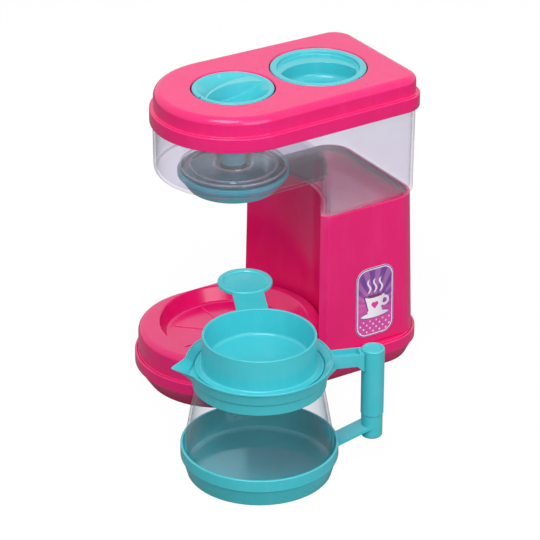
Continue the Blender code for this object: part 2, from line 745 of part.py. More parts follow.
def make_column(finish):
    """The column: a shell with a hollowed front, a pocket under the tank and two screw bosses."""
    pocket_z = COLUMN_RIM_Z - COLUMN_POCKET_DEPTH
    ceiling_z = pocket_z - WALL
    rings = [COLUMN_TOP.inset(WALL).ring(ceiling_z), COLUMN_FOOT.inset(WALL).ring(COLUMN_FOOT_Z),
             COLUMN_FOOT.ring(COLUMN_FOOT_Z), COLUMN_TOP.ring(COLUMN_RIM_Z),
             COLUMN_TOP.inset(WALL).ring(COLUMN_RIM_Z), COLUMN_TOP.inset(WALL).ring(pocket_z)]
    bosses = bars(COLUMN_BOSS_R, COLUMN_FOOT_Z, COLUMN_FOOT_Z + COLUMN_BOSS_RISE, COLUMN_BOSSES)
    bores = bars(SCREW_BORE_R, COLUMN_FOOT_Z - OVERRUN,
                 COLUMN_FOOT_Z + COLUMN_SCREW_LENGTH, COLUMN_BOSSES)
    return place(less(joined(skin(rings), *bosses), *bores), "column_shell", finish)


def make_base_pan(finish):
    """The lower pan: a tapered foot, an upright band and four screw bosses."""
    shoulder = BAND_PLAN.inset(PAN_TAPER_IN)
    inner_band = BAND_PLAN.inset(PAN_WALL)
    inner_shoulder = shoulder.inset(PAN_WALL)
    inner_foot = FOOT_PLAN.towards(shoulder, PAN_WALL / PAN_TAPER_Z).inset(PAN_WALL)
    rings = [inner_foot.ring(PAN_WALL), inner_shoulder.ring(BAND_BOTTOM_Z),
             inner_band.ring(BAND_BOTTOM_Z), inner_band.ring(BAND_TOP_Z)]
    rings += reversed(rounded_rings(BAND_PLAN, BAND_BOTTOM_Z + BAND_EDGE_R, BAND_TOP_Z, BAND_EDGE_R))
    rings += [BAND_PLAN.inset(BAND_DRAFT).ring(BAND_BOTTOM_Z), shoulder.ring(PAN_TAPER_Z)]
    edge = FOOT_PLAN.towards(shoulder, FOOT_EDGE_R / PAN_TAPER_Z)
    rings += [edge.ring(FOOT_EDGE_R), FOOT_PLAN.inset(FOOT_EDGE_R / 2).ring(0)]
    posts = FRONT_POSTS + REAR_POSTS
    bosses = bars(POST_BOSS_R, PAN_WALL / 2, POST_BOSS_TOP_Z, posts)
    heads = bars(SCREW_HEAD_R + SCREW_HEAD_ROOM, -OVERRUN, SCREW_SEAT_Z, posts)
    holes = bars(SCREW_BORE_R, SCREW_SEAT_Z - OVERRUN, POST_BOSS_TOP_Z + OVERRUN, posts)
    return place(less(joined(skin(rings), *bosses), *heads, *holes), "base_pan", finish)


def tray_space(offset):
    """The drip tray's hollow; an offset makes it larger, for the cover's underside."""
    top_z = CREST_Z + OVERRUN
    flare = TRAY_FLARE * (top_z - TRAY_RIM_Z) / (CREST_Z - TRAY_RIM_Z)
    profile = [(0, TRAY_FLOOR_Z), (TRAY_FLOOR_R, TRAY_FLOOR_Z), (TRAY_BEND_R, TRAY_BEND_Z),
               (TRAY_R, TRAY_RIM_Z), (TRAY_R + flare, top_z), (0, top_z)]
    return turned([(radius + offset if radius else 0, z - offset) for radius, z in profile])


def make_base_cover(finish):
    """The upper cover: a rear deck for the column and a raised drip tray with spokes."""
    bottom_z = BAND_BOTTOM_Z + PLAY
    deck = skin(rounded_rings(COVER_PLAN, bottom_z, DECK_Z, BAND_EDGE_R))
    rings = [TRAY_PLAN.inset(BAND_DRAFT).ring(bottom_z + WALL)]
    rings += [TRAY_PLAN.inset(CREST_DRAFT + inset).ring(CREST_Z - drop)
              for inset, drop in quarter_round(CREST_EDGE_R)]
    body = less(joined(deck, skin(rings)), tray_space(0))
    hollow = skin([COVER_PLAN.inset(WALL).ring(bottom_z - OVERRUN),
                   COVER_PLAN.inset(WALL).ring(DECK_Z - WALL)])
    raised = skin([TRAY_PLAN.inset(WALL + CREST_DRAFT).ring(bottom_z),
                   TRAY_PLAN.inset(WALL + CREST_DRAFT).ring(CREST_Z - CREST_EDGE_R),
                   TRAY_PLAN.inset(WALL + CREST_EDGE_R).ring(CREST_Z - WALL)])
    hollow = less(joined(hollow, raised), tray_space(WALL))
    body = less(body, hollow)
    low_z = POST_BOSS_TOP_Z + PLAY
    posts = bars(POST_R, low_z, TRAY_FLOOR_Z - WALL / 2, FRONT_POSTS)
    posts += bars(POST_R, low_z, DECK_Z - WALL / 2, REAR_POSTS)
    spokes = []
    for spoke in range(SPOKE_COUNT):
        rib = block((SPOKE_START_R, -SPOKE_WIDTH / 2, TRAY_FLOOR_Z - WALL / 2),
                    (SPOKE_END_R, SPOKE_WIDTH / 2, TRAY_FLOOR_Z + SPOKE_RISE))
        spokes.append(moved(rib, Matrix.Rotation(math.tau * spoke / SPOKE_COUNT, 4, "Z")))
    body = joined(body, *posts, *spokes)
    bores = bars(SCREW_BORE_R, low_z - OVERRUN, SCREW_SEAT_Z + BASE_SCREW_LENGTH + WALL,
                 FRONT_POSTS + REAR_POSTS)
    bores += bars(SCREW_BORE_R, DECK_Z - WALL - OVERRUN, DECK_Z + OVERRUN, COLUMN_BOSSES)
    return place(less(body, *bores), "base_cover", finish)


def screw(seat_z, length, centre):
    """A slotted pan-head screw that points up, with its head's upper face at a height."""
    low_z = seat_z - SCREW_HEAD_RISE
    flat_r = SCREW_HEAD_R - SCREW_HEAD_EDGE
    shape = turned([(0, low_z), (flat_r, low_z), (SCREW_HEAD_R, low_z + SCREW_HEAD_EDGE),
                    (SCREW_HEAD_R, seat_z), (SCREW_R, seat_z), (SCREW_R, seat_z + length - SCREW_R),
                    (0, seat_z + length)], centre, SCREW_STEPS)
    slot = block((centre[0] - SCREW_HEAD_R - OVERRUN, centre[1] - SCREW_SLOT_WIDTH / 2, low_z - OVERRUN),
                 (centre[0] + SCREW_HEAD_R + OVERRUN, centre[1] + SCREW_SLOT_WIDTH / 2,
                  low_z + SCREW_SLOT_DEPTH))
    return less(shape, slot)


def make_screws(name, seat_z, length, centres, finish):
    """One numbered screw at each centre."""
    for number, centre in enumerate(centres, start=1):
        place(screw(seat_z, length, centre), f"{name}_{number}", finish)


def bowl_z(radius):
    """Height of the knob's hollow at a radius."""
    share = radius / KNOB_BOWL_R
    return LID_TOP_Z - KNOB_RIM_DROP - KNOB_BOWL_DEPTH * (1 - share * share)


def make_knob(finish, parent):
    """The front knob: a hollow disc with a curved grip across it, a pointer notch and a hub."""
    radii = [KNOB_BOWL_R * step / KNOB_BOWL_STEPS for step in range(KNOB_BOWL_STEPS + 1)]
    inner_r = KNOB_R - KNOB_SKIRT_WALL
    profile = [(radius, bowl_z(radius)) for radius in radii]
    profile += [(KNOB_BOWL_R + KNOB_EDGE_R, LID_TOP_Z), (KNOB_R - KNOB_EDGE_R, LID_TOP_Z),
                (KNOB_R, LID_TOP_Z - KNOB_EDGE_R), (KNOB_R, KNOB_BOTTOM_Z), (inner_r, KNOB_BOTTOM_Z),
                (inner_r, LID_TOP_Z - WALL - KNOB_RIM_DROP)]
    profile += [(radius, bowl_z(radius) - WALL) for radius in reversed(radii[2:])]
    profile += [(HUB_R, bowl_z(HUB_R) - WALL), (HUB_R, HUB_BOTTOM_Z), (0, HUB_BOTTOM_Z)]
    disc = turned(profile)
    fill_r = KNOB_BOWL_R + KNOB_EDGE_R
    fill = turned([(radius, bowl_z(radius) - WALL / 2) for radius in radii]
                  + [(fill_r, LID_TOP_Z - WALL), (fill_r, LID_TOP_Z - GRIP_TOP_DROP),
                     (0, LID_TOP_Z - GRIP_TOP_DROP)])
    near = []
    far = []
    for step in range(GRIP_STEPS + 1):
        y = KNOB_R * (2 * step / GRIP_STEPS - 1)
        near.append((GRIP_NEAR_X - math.sqrt(GRIP_NEAR_R ** 2 - (y - GRIP_NEAR_Y) ** 2), y))
        far.append((GRIP_FAR_X - math.sqrt(GRIP_FAR_R ** 2 - (y - GRIP_FAR_Y) ** 2), y))
    blade = prism(near + list(reversed(far)), HUB_BOTTOM_Z, LID_TOP_Z)
    notch = block((KNOB_R - NOTCH_DEPTH, -NOTCH_WIDTH / 2, LID_TOP_Z - NOTCH_RISE),
                  (KNOB_R + OVERRUN, NOTCH_WIDTH / 2, LID_TOP_Z + OVERRUN))
    moved(notch, Matrix.Rotation(NOTCH_ANGLE, 4, "Z"))
    knob = less(joined(disc, shared(fill, blade)), notch)
    return place(knob, "front_knob", finish, parent)


def make_stem(finish, parent):
    """The valve stem: a round post with a seal groove, a socket for the knob's hub and a pivot pin."""
    foot_z = TANK_FLOOR_Z + WALL + 2 * PLAY + VALVE_THICK
    socket_r = HUB_R + PLAY
    socket_z = HUB_BOTTOM_Z - PLAY
    low_groove_z = SEAL_Z - PLAY
    high_groove_z = SEAL_Z + SEAL_HEIGHT + PLAY
    profile = [(0, TANK_FLOOR_Z + STEM_PIN_END_UP), (STEM_PIN_R, TANK_FLOOR_Z + STEM_PIN_END_UP),
               (STEM_PIN_R, foot_z), (STEM_R, foot_z), (STEM_R, low_groove_z),
               (SEAL_GROOVE_R, low_groove_z), (SEAL_GROOVE_R, high_groove_z), (STEM_R, high_groove_z),
               (STEM_R, STEM_TOP_Z), (socket_r, STEM_TOP_Z), (socket_r, socket_z), (0, socket_z)]
    return place(turned(profile, steps=TUBE_STEPS), "valve_stem", finish, parent)


def make_stem_seal(finish, parent):
    """The ring in the stem's groove that wipes the sleeve."""
    wall = SLEEVE_R - SLEEVE_WALL - PLAY - SEAL_GROOVE_R - PLAY
    seal = turned([(SEAL_GROOVE_R + PLAY + wall, SEAL_Z + SEAL_HEIGHT),
                   (SEAL_GROOVE_R + PLAY + wall, SEAL_Z), (SEAL_GROOVE_R + PLAY, SEAL_Z),
                   (SEAL_GROOVE_R + PLAY, SEAL_Z + SEAL_HEIGHT)], steps=TUBE_STEPS)
    return place(seal, "stem_seal", finish, parent)


def make_valve_disc(finish, parent):
    """The rubber disc under the stem, whose ports meet the floor's ports as the knob turns."""
    low_z = TANK_FLOOR_Z + WALL + PLAY
    disc = ring_wall(STEM_PIN_R + PLAY, VALVE_R - STEM_PIN_R - PLAY, low_z, low_z + VALVE_THICK)
    angles = [math.tau * (port + PORT_TURN_SHARE) / PORT_COUNT for port in range(PORT_COUNT)]
    ports = [(PORT_CIRCLE_R * math.cos(angle), PORT_CIRCLE_R * math.sin(angle)) for angle in angles]
    holes = bars(PORT_R, low_z - OVERRUN, low_z + VALVE_THICK + OVERRUN, ports)
    return place(less(disc, *holes), "valve_disc", finish, parent)


def pocket_outline(margin):
    """The fill cap's finger pocket from above: the overlap of two circles, grown by a margin."""
    wide_r = POCKET_R + margin
    limit_r = POCKET_LIMIT_R + margin
    offset = math.hypot(POCKET_CENTRE_X, POCKET_CENTRE_Y)
    heading = math.atan2(POCKET_CENTRE_Y, POCKET_CENTRE_X)
    chord = (offset ** 2 + limit_r ** 2 - wide_r ** 2) / (2 * offset)
    near = math.acos(chord / limit_r)
    far = math.acos((offset - chord) / wide_r)
    points = []
    for step in range(POCKET_STEPS):
        angle = heading - near + 2 * near * step / POCKET_STEPS
        points.append((limit_r * math.cos(angle), CAP_Y + limit_r * math.sin(angle)))
    for step in range(POCKET_STEPS):
        angle = heading + math.pi - far + 2 * far * step / POCKET_STEPS
        points.append((POCKET_CENTRE_X + wide_r * math.cos(angle),
                       CAP_Y + POCKET_CENTRE_Y + wide_r * math.sin(angle)))
    return points


def make_fill_cap(finish, parent):
    """The rear fill cap: a rimmed disc with a spigot and a deep pocket for the fingers."""
    ledge_z = LID_TOP_Z - CAP_LEDGE_DROP
    rim_r = CAP_R - CAP_RIM_WIDTH
    flange_z = LID_TOP_Z - CAP_FLANGE
    inner_r = CAP_SPIGOT_R - WALL
    profile = [(0, ledge_z), (rim_r - CAP_EDGE_R, ledge_z), (rim_r, ledge_z + CAP_EDGE_R),
               (rim_r, LID_TOP_Z - CAP_EDGE_R), (rim_r + CAP_EDGE_R, LID_TOP_Z),
               (CAP_R - CAP_EDGE_R, LID_TOP_Z), (CAP_R, LID_TOP_Z - CAP_EDGE_R), (CAP_R, flange_z),
               (CAP_SPIGOT_R, flange_z), (CAP_SPIGOT_R, CAP_SPIGOT_BOTTOM_Z),
               (inner_r, CAP_SPIGOT_BOTTOM_Z), (inner_r, ledge_z - WALL), (0, ledge_z - WALL)]
    body = turned(profile, (0, CAP_Y))
    cup = prism(pocket_outline(WALL), POCKET_FLOOR_Z - WALL, ledge_z - WALL / 2)
    pocket = prism(pocket_outline(0), POCKET_FLOOR_Z, LID_TOP_Z)
    return place(less(joined(body, cup), pocket), "fill_cap", finish, parent)


def make_basket(finish):
    """The brew basket: a tapered cup with a rim under the tank floor and an outlet."""
    top_z = TANK_FLOOR_Z - PLAY
    mouth_r = BASKET_R - BASKET_FLANGE
    seat_z = TANK_FLOOR_Z - BASKET_RING_DEPTH - PLAY
    floor_z = BASKET_BOTTOM_Z + WALL
    profile = [(BASKET_R - BASKET_EDGE_R, top_z), (BASKET_R, top_z - BASKET_EDGE_R),
               (BASKET_R, seat_z + BASKET_EDGE_R), (BASKET_R - BASKET_EDGE_R, seat_z),
               (BASKET_BOTTOM_R, BASKET_BOTTOM_Z + BASKET_EDGE_R),
               (BASKET_BOTTOM_R - BASKET_EDGE_R, BASKET_BOTTOM_Z), (BASKET_OUTLET_R, BASKET_BOTTOM_Z),
               (BASKET_OUTLET_R, floor_z), (BASKET_BOTTOM_R - WALL, floor_z),
               (mouth_r - WALL, seat_z), (mouth_r, seat_z), (mouth_r, top_z)]
    return place(turned(profile), "brew_basket", finish)


def glass_r(z):
    """Outer radius of the carafe's cone at a height."""
    return GLASS_R - GLASS_SLOPE * (z - GLASS_SHOULDER_Z)


def dish_profile_r(z):
    """Radius that the glass and its dish share low down, before the clearance between them."""
    share = math.sqrt(max(0, 1 - (1 - z / GLASS_SHOULDER_Z) ** 3))
    return GLASS_BASE_R + (GLASS_R - GLASS_BASE_R) * share


def handle_frame(part):
    """Turn a piece made along +X so that it points along the handle, beside the carafe's axis."""
    return moved(part, Matrix.Translation((CARAFE_X, CARAFE_Y, 0)) @ Matrix.Rotation(HANDLE_ANGLE, 4, "Z"))


def make_glass(finish, parent):
    """The clear carafe body: a rounded foot, a cone and a plain neck."""
    centre = (CARAFE_X, CARAFE_Y)
    low_z = DISH_FLOOR + PLAY
    rise = GLASS_SHOULDER_Z - low_z
    heights = [low_z + rise * share for share in GLASS_LOW_SHARES]
    outer = [(GLASS_BASE_R, low_z)] + [(dish_profile_r(z), z) for z in heights]
    outer += [(GLASS_R, GLASS_SHOULDER_Z), (glass_r(COLLAR_BOTTOM_Z), COLLAR_BOTTOM_Z),
              (glass_r(GLASS_TOP_Z), GLASS_TOP_Z)]
    inner = [(radius - GLASS_WALL, z) for radius, z in outer[2:]]
    inner = [(GLASS_BASE_R - GLASS_WALL / 2, low_z + GLASS_WALL)] + inner
    profile = [(0, low_z)] + outer + list(reversed(inner)) + [(0, low_z + GLASS_WALL)]
    return place(turned(profile, centre), "carafe_glass", finish, parent)


def make_carafe_base(finish, parent):
    """The carafe's dish with the lower strap, the lower tube and the spigot of the handle."""
    centre = (CARAFE_X, CARAFE_Y)
    low_z = DISH_FLOOR + PLAY
    rise = GLASS_SHOULDER_Z - low_z
    heights = [low_z + rise * share for share in GLASS_LOW_SHARES]
    gap = DISH_R - DISH_LIP - GLASS_R
    outer = [(0, 0), (DISH_FOOT_R - DISH_EDGE_R, 0), (DISH_FOOT_R, DISH_EDGE_R),
             (DISH_R - DISH_EDGE_R, DISH_STEP_Z - DISH_EDGE_R), (DISH_R - DISH_EDGE_R / 2, DISH_STEP_Z),
             (DISH_R, DISH_STEP_Z + DISH_EDGE_R / 2), (DISH_R, DISH_TOP_Z - DISH_EDGE_R / 2),
             (DISH_R - DISH_EDGE_R / 2, DISH_TOP_Z)]
    inner = [(dish_profile_r(z) + gap, z) for z in heights]
    profile = outer + [(GLASS_R + gap, DISH_TOP_Z)] + list(reversed(inner))
    profile += [(GLASS_BASE_R + gap, DISH_FLOOR), (0, DISH_FLOOR)]
    dish = turned(profile, centre)
    start = DISH_R - DISH_LIP / 2
    strap_end = TUBE_OFFSET - TUBE_STEP
    end_z = STRAP_START_Z + STRAP_SLOPE * (strap_end - start)
    strap = side_prism([(start, STRAP_START_Z - STRAP_THICK), (strap_end, end_z - STRAP_THICK),
                        (strap_end, end_z), (start, STRAP_START_Z)], STRAP_HALF_WIDTH)
    lower_r = TUBE_R - TUBE_STEP
    spigot_r = TUBE_R - TUBE_WALL - PLAY
    tube = turned([(0, TUBE_BOTTOM_Z), (lower_r - TUBE_EDGE_R, TUBE_BOTTOM_Z),
                   (lower_r - TUBE_EDGE_R / 4, TUBE_BOTTOM_Z + TUBE_EDGE_R / 3),
                   (lower_r, TUBE_BOTTOM_Z + TUBE_EDGE_R),
                   (lower_r, TUBE_JOINT_Z - PLAY), (spigot_r, TUBE_JOINT_Z - PLAY),
                   (spigot_r, TUBE_JOINT_Z + TUBE_SPIGOT_RISE), (0, TUBE_JOINT_Z + TUBE_SPIGOT_RISE)],
                  (TUBE_OFFSET, 0), TUBE_STEPS)
    handle = joined(handle_frame(tube), handle_frame(strap))
    return place(joined(dish, handle), "carafe_base", finish, parent)


def spout_reach(angle, z):
    """How far the spout draws the collar out at an angle and a height."""
    turn = abs((angle - SPOUT_ANGLE + math.pi) % math.tau - math.pi)
    width = max(0, 1 - turn / SPOUT_HALF_ANGLE)
    rise = max(0, (z - COLLAR_STEP_Z) / (COLLAR_TOP_Z - COLLAR_STEP_Z))
    return SPOUT_REACH * width ** SPOUT_WIDTH_POWER * rise ** SPOUT_RISE_POWER


def make_collar(finish, parent):
    """The pouring collar with the spout, the handle's bridge and its upper tube."""
    lip_z = GLASS_TOP_Z + PLAY
    lip_top_z = lip_z + COLLAR_LIP
    rim_z = COLLAR_TOP_Z - COLLAR_RIM_WALL
    step_r = glass_r(COLLAR_BOTTOM_Z) + PLAY + COLLAR_FOOT_WALL + COLLAR_STEP_OUT
    seat_r = CUP_FLANGE_R + 2 * PLAY
    profile = [(COLLAR_RIM_R - COLLAR_RIM_WALL, COLLAR_TOP_Z), (COLLAR_RIM_R, COLLAR_TOP_Z),
               (COLLAR_RIM_R, rim_z), (COLLAR_RIM_R - COLLAR_RIM_WALL, rim_z - COLLAR_RIM_WALL),
               (step_r + COLLAR_STEP_OUT, COLLAR_STEP_Z), (step_r, COLLAR_STEP_Z - COLLAR_STEP_OUT),
               (step_r - COLLAR_STEP_OUT, COLLAR_BOTTOM_Z),
               (glass_r(COLLAR_BOTTOM_Z) + PLAY, COLLAR_BOTTOM_Z), (glass_r(lip_z) + PLAY, lip_z),
               (COLLAR_LIP_R, lip_z), (COLLAR_LIP_R, lip_top_z), (seat_r, lip_top_z),
               (seat_r, lip_top_z + CUP_FLANGE)]
    centre = (CARAFE_X, CARAFE_Y)
    collar = turned(profile, centre, COLLAR_STEPS, SPOUT_ANGLE, spout_reach)
    tube_r = TUBE_R - TUBE_WALL
    tube = turned([(0, TUBE_TOP_Z - TUBE_DISH_DEPTH), (TUBE_DISH_R, TUBE_TOP_Z - TUBE_DISH_DEPTH),
                   (TUBE_DISH_R, TUBE_TOP_Z), (TUBE_R - TUBE_DISH_DEPTH, TUBE_TOP_Z),
                   (TUBE_R, TUBE_TOP_Z - TUBE_DISH_DEPTH), (TUBE_R, TUBE_JOINT_Z),
                   (tube_r, TUBE_JOINT_Z), (tube_r, TUBE_TOP_Z - TUBE_WALL), (0, TUBE_TOP_Z - TUBE_WALL)],
                  (TUBE_OFFSET, 0), TUBE_STEPS)
    end = TUBE_OFFSET - tube_r - TUBE_WALL / 2
    wall_r = COLLAR_RIM_R - COLLAR_RIM_WALL
    corner_z = BRIDGE_BOTTOM_Z - CORNER_DROP
    bridge = side_prism([(step_r - COLLAR_STEP_OUT, GUSSET_FOOT_Z), (GUSSET_REACH, BRIDGE_BOTTOM_Z),
                         (CORNER_REACH, BRIDGE_BOTTOM_Z), (CORNER_REACH + CORNER_DROP, corner_z),
                         (end, corner_z), (end, BRIDGE_TOP_Z), (wall_r, BRIDGE_TOP_Z),
                         (step_r, COLLAR_STEP_Z)], BRIDGE_HALF_WIDTH)
    groove = block((COLLAR_RIM_R + BRIDGE_RAIL, BRIDGE_RAIL - BRIDGE_HALF_WIDTH,
                    BRIDGE_TOP_Z - BRIDGE_GROOVE_DEPTH),
                   (TUBE_OFFSET - TUBE_R - BRIDGE_RAIL, BRIDGE_HALF_WIDTH - BRIDGE_RAIL,
                    BRIDGE_TOP_Z + OVERRUN))
    handle = joined(handle_frame(tube), handle_frame(less(bridge, groove)))
    return place(joined(collar, handle), "carafe_collar", finish, parent)


def make_filter_cup(finish, parent):
    """The filter cup: a cup with a seat flange, a plug below it and a lifting tab with a disc."""
    centre = (CARAFE_X, CARAFE_Y)
    flange_z = GLASS_TOP_Z + PLAY + COLLAR_LIP + PLAY
    plug_r = COLLAR_LIP_R - 2 * PLAY
    inner_r = CUP_RIM_R - CUP_WALL
    profile = [(0, CUP_FLOOR_Z), (inner_r - CUP_EDGE_R, CUP_FLOOR_Z), (inner_r, CUP_TOP_Z - CUP_EDGE_R),
               (inner_r + CUP_EDGE_R, CUP_TOP_Z), (CUP_RIM_R - CUP_EDGE_R, CUP_TOP_Z),
               (CUP_RIM_R, CUP_TOP_Z - CUP_EDGE_R), (CUP_FOOT_R, flange_z + CUP_FLANGE),
               (CUP_FLANGE_R, flange_z + CUP_FLANGE), (CUP_FLANGE_R, flange_z), (plug_r, flange_z),
               (plug_r, CUP_PLUG_BOTTOM_Z), (plug_r - CUP_WALL, CUP_PLUG_BOTTOM_Z),
               (plug_r - CUP_WALL, CUP_FLOOR_Z - CUP_FLOOR), (0, CUP_FLOOR_Z - CUP_FLOOR)]
    cup = turned(profile, centre)
    root_r = CUP_RIM_R - CUP_WALL / 2
    half_angle = math.asin(TAB_HALF_WIDTH / root_r)
    arc = [(root_r * math.cos(angle), root_r * math.sin(angle))
           for angle in (half_angle, half_angle / 2, 0, -half_angle / 2, -half_angle)]
    strap_end = TAB_REACH - math.sqrt(DISC_R ** 2 - TAB_HALF_WIDTH ** 2) + PLAY
    strap = prism([(strap_end, -TAB_HALF_WIDTH), (strap_end, TAB_HALF_WIDTH)] + arc,
                  -TAB_THICK / 2, TAB_THICK / 2)
    top = DISC_THICK / 2
    disc = turned([(0, top - DISC_RECESS), (DISC_RECESS_R, top - DISC_RECESS),
                   (DISC_RECESS_R + DISC_EDGE_R, top), (DISC_R - DISC_EDGE_R, top),
                   (DISC_R, top - DISC_EDGE_R), (DISC_R, DISC_EDGE_R - top),
                   (DISC_R - DISC_EDGE_R, -top), (0, -top)], (TAB_REACH, 0))
    frame = Matrix.Translation((CARAFE_X, CARAFE_Y, TAB_MIDDLE_Z)) @ Matrix.Rotation(TAB_ANGLE, 4, "Z")
    tab = joined(moved(disc, frame), moved(strap, frame))
    return place(joined(cup, tab), "filter_cup", finish, parent)


def side_x(z):
    """Where the column's right side is at a height."""
    share = (z - COLUMN_FOOT_Z) / (COLUMN_RIM_Z - COLUMN_FOOT_Z)
    return COLUMN_FOOT_HALF_WIDTH + (COLUMN_TOP_HALF_WIDTH - COLUMN_FOOT_HALF_WIDTH) * share


def make_label(finish):
    """The side label: a thin rounded plate that lies along the column's side."""
    outline = []
    for corner in range(4):
        across = 1 if corner in (0, 3) else -1
        up = 1 if corner in (0, 1) else -1
        for step in range(LABEL_CORNER_STEPS + 1):
            angle = math.pi / 2 * (corner + step / LABEL_CORNER_STEPS)
            outline.append((across * (LABEL_HALF_WIDTH - LABEL_CORNER_R) + LABEL_CORNER_R * math.cos(angle),
                            up * (LABEL_HALF_HEIGHT - LABEL_CORNER_R) + LABEL_CORNER_R * math.sin(angle)))
    faces = []
    for lift in (PLAY, PLAY + LABEL_THICK):
        faces.append([Vector((side_x(LABEL_CENTRE_Z + up) + lift, LABEL_CENTRE_Y + across,
                              LABEL_CENTRE_Z + up)) for across, up in outline])
    return place(skin(faces), "side_label", finish)


def build():
    """Make every piece of the machine and of the carafe."""
    clear_scene()
    pink = make_material("pink_plastic", (0.80, 0.03, 0.16), 0.28)
    teal = make_material("teal_plastic", (0.08, 0.56, 0.58), 0.32)
    clear = make_material("clear_plastic", (0.78, 0.76, 0.88), 0.08, alpha=0.35)
    rubber = make_material("seal_rubber", (0.03, 0.03, 0.035), 0.75)
    steel = make_material("screw_steel", (0.60, 0.60, 0.62), 0.35, metallic=1.0)
    print_sheet = make_material("label_print", (0.36, 0.10, 0.42), 0.40)
    make_base_pan(pink)
    make_base_cover(pink)
    make_screws("base_screw", SCREW_SEAT_Z - PLAY, BASE_SCREW_LENGTH, FRONT_POSTS + REAR_POSTS, steel)
    make_column(pink)
    make_screws("column_screw", DECK_Z - WALL - PLAY, COLUMN_SCREW_LENGTH, COLUMN_BOSSES, steel)
    make_label(print_sheet)
    make_tank(clear)
    make_basket(teal)
    make_lid(pink)
    knob_axis = axis_empty("knob_axis", Vector((0, 0, LID_TOP_Z)))
    make_knob(teal, knob_axis)
    make_stem(teal, knob_axis)
    make_stem_seal(rubber, knob_axis)
    make_valve_disc(rubber, knob_axis)
    make_fill_cap(teal, axis_empty("cap_axis", Vector((0, CAP_Y, LID_TOP_Z))))
    carafe_axis = axis_empty("carafe_axis", Vector((CARAFE_X, CARAFE_Y, 0)))
    make_carafe_base(teal, carafe_axis)
    make_glass(clear, carafe_axis)
    make_collar(teal, carafe_axis)
    make_filter_cup(teal, axis_empty("cup_axis", Vector((CARAFE_X, CARAFE_Y, CUP_FLOOR_Z))))


build()
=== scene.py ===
"""Toy coffee maker: its visible pieces and their finishes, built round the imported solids.

The machine stands on the ground with its round nose towards -Y. The carafe and its filter cup
stand on its +X side. Every length is in metres.
"""
from __future__ import annotations

import logging
import math
from dataclasses import dataclass, replace
from enum import Enum
from typing import Callable, Iterable, Sequence

import bmesh
import bpy
from mathutils import Matrix, Vector


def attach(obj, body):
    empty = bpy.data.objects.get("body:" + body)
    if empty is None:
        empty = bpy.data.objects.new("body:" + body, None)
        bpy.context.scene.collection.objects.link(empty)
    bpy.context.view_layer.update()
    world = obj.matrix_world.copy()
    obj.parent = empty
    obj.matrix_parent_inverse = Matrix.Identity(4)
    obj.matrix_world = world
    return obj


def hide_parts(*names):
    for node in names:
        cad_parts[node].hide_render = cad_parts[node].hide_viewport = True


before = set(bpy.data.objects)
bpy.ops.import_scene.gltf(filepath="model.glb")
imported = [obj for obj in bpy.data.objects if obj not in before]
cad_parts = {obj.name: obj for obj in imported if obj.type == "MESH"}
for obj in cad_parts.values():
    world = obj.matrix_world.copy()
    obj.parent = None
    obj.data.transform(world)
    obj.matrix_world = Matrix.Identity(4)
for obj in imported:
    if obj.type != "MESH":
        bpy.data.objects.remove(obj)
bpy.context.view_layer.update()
LOG = logging.getLogger("toy_coffee_maker")

Point = tuple[float, float]
Colour = tuple[float, float, float]
WHITE = (1.0, 1.0, 1.0, 1.0)

ROUND_STEPS = 144
NOSE_STEPS = 96
CORNER_STEPS = 18
SCOOP_STEPS = 56
SAME_SPOT = 2e-6
OVERRUN = 0.002
HAIR = 0.00002
PAST_BEND = 1.02
PLAY = 0.0003
SHARP_ANGLE = math.radians(32)


class Body(Enum):
    """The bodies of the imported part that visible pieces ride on."""

    MACHINE = "machine"
    VALVE = "valve"
    CAP = "cap"
    CARAFE = "carafe"
    FILTER = "filter"


class Slot(Enum):
    """The record's material slots."""

    PINK = "pink_plastic"
    TEAL = "teal_plastic"
    CLEAR = "clear_plastic"
    RUBBER = "seal_rubber"
    STEEL = "screw_steel"
    PRINT = "label_print"


# ---------------------------------------------------------------- shaping


@dataclass(frozen=True)
class Bend:
    """A corner of a section or outline: where it is and the radius that rounds it."""

    out: float
    up: float
    r: float = 0.0
    steps: int = 5


def rounded(bends: Sequence[Bend]) -> list[Point]:
    """Round the corners of an open path with the bevel tool.

    Args:
        bends: The path's corners in order; the two ends stay as they are.

    Returns:
        The points of the rounded path.
    """
    mesh = bmesh.new()
    spots = [Vector((bend.out, bend.up, 0)) for bend in bends]
    corners = [mesh.verts.new(spot) for spot in spots]
    for pair in zip(corners, corners[1:]):
        mesh.edges.new(pair)
    walker = corners[0]
    for index in range(1, len(bends) - 1):
        if bends[index].r == 0:
            continue
        half = (spots[index - 1] - spots[index]).angle(spots[index + 1] - spots[index]) / 2
        bmesh.ops.bevel(mesh, geom=[corners[index]], offset=bends[index].r / math.tan(half),
                        offset_type="OFFSET", segments=bends[index].steps, profile=0.5,
                        affect="VERTICES", material=-1, clamp_overlap=False)
    points = [(walker.co.x, walker.co.y)]
    behind = None
    while True:
        ahead = [edge.other_vert(walker) for edge in walker.link_edges]
        ahead = [vert for vert in ahead if vert != behind]
        if not ahead:
            break
        behind, walker = walker, ahead[0]
        points.append((walker.co.x, walker.co.y))
    mesh.free()
    return points


def arc(radius: float, start: float, end: float, steps: int, centre: Point = (0, 0)) -> list[Point]:
    """Draw an arc by spinning one point.

    Args:
        radius: The arc's radius.
        start: Angle of its first point.
        end: Angle of its last point.
        steps: How many straight pieces it has.
        centre: Its centre.

    Returns:
        The points along the arc.
    """
    mesh = bmesh.new()
    seed = mesh.verts.new((radius * math.cos(start), radius * math.sin(start), 0))
    bmesh.ops.spin(mesh, geom=[seed], cent=(0, 0, 0), dvec=(0, 0, 0), axis=(0, 0, 1),
                   angle=end - start, steps=steps, use_merge=False, use_normal_flip=False,
                   use_duplicate=False)
    points = [(vert.co.x + centre[0], vert.co.y + centre[1]) for vert in mesh.verts]
    mesh.free()
    return points


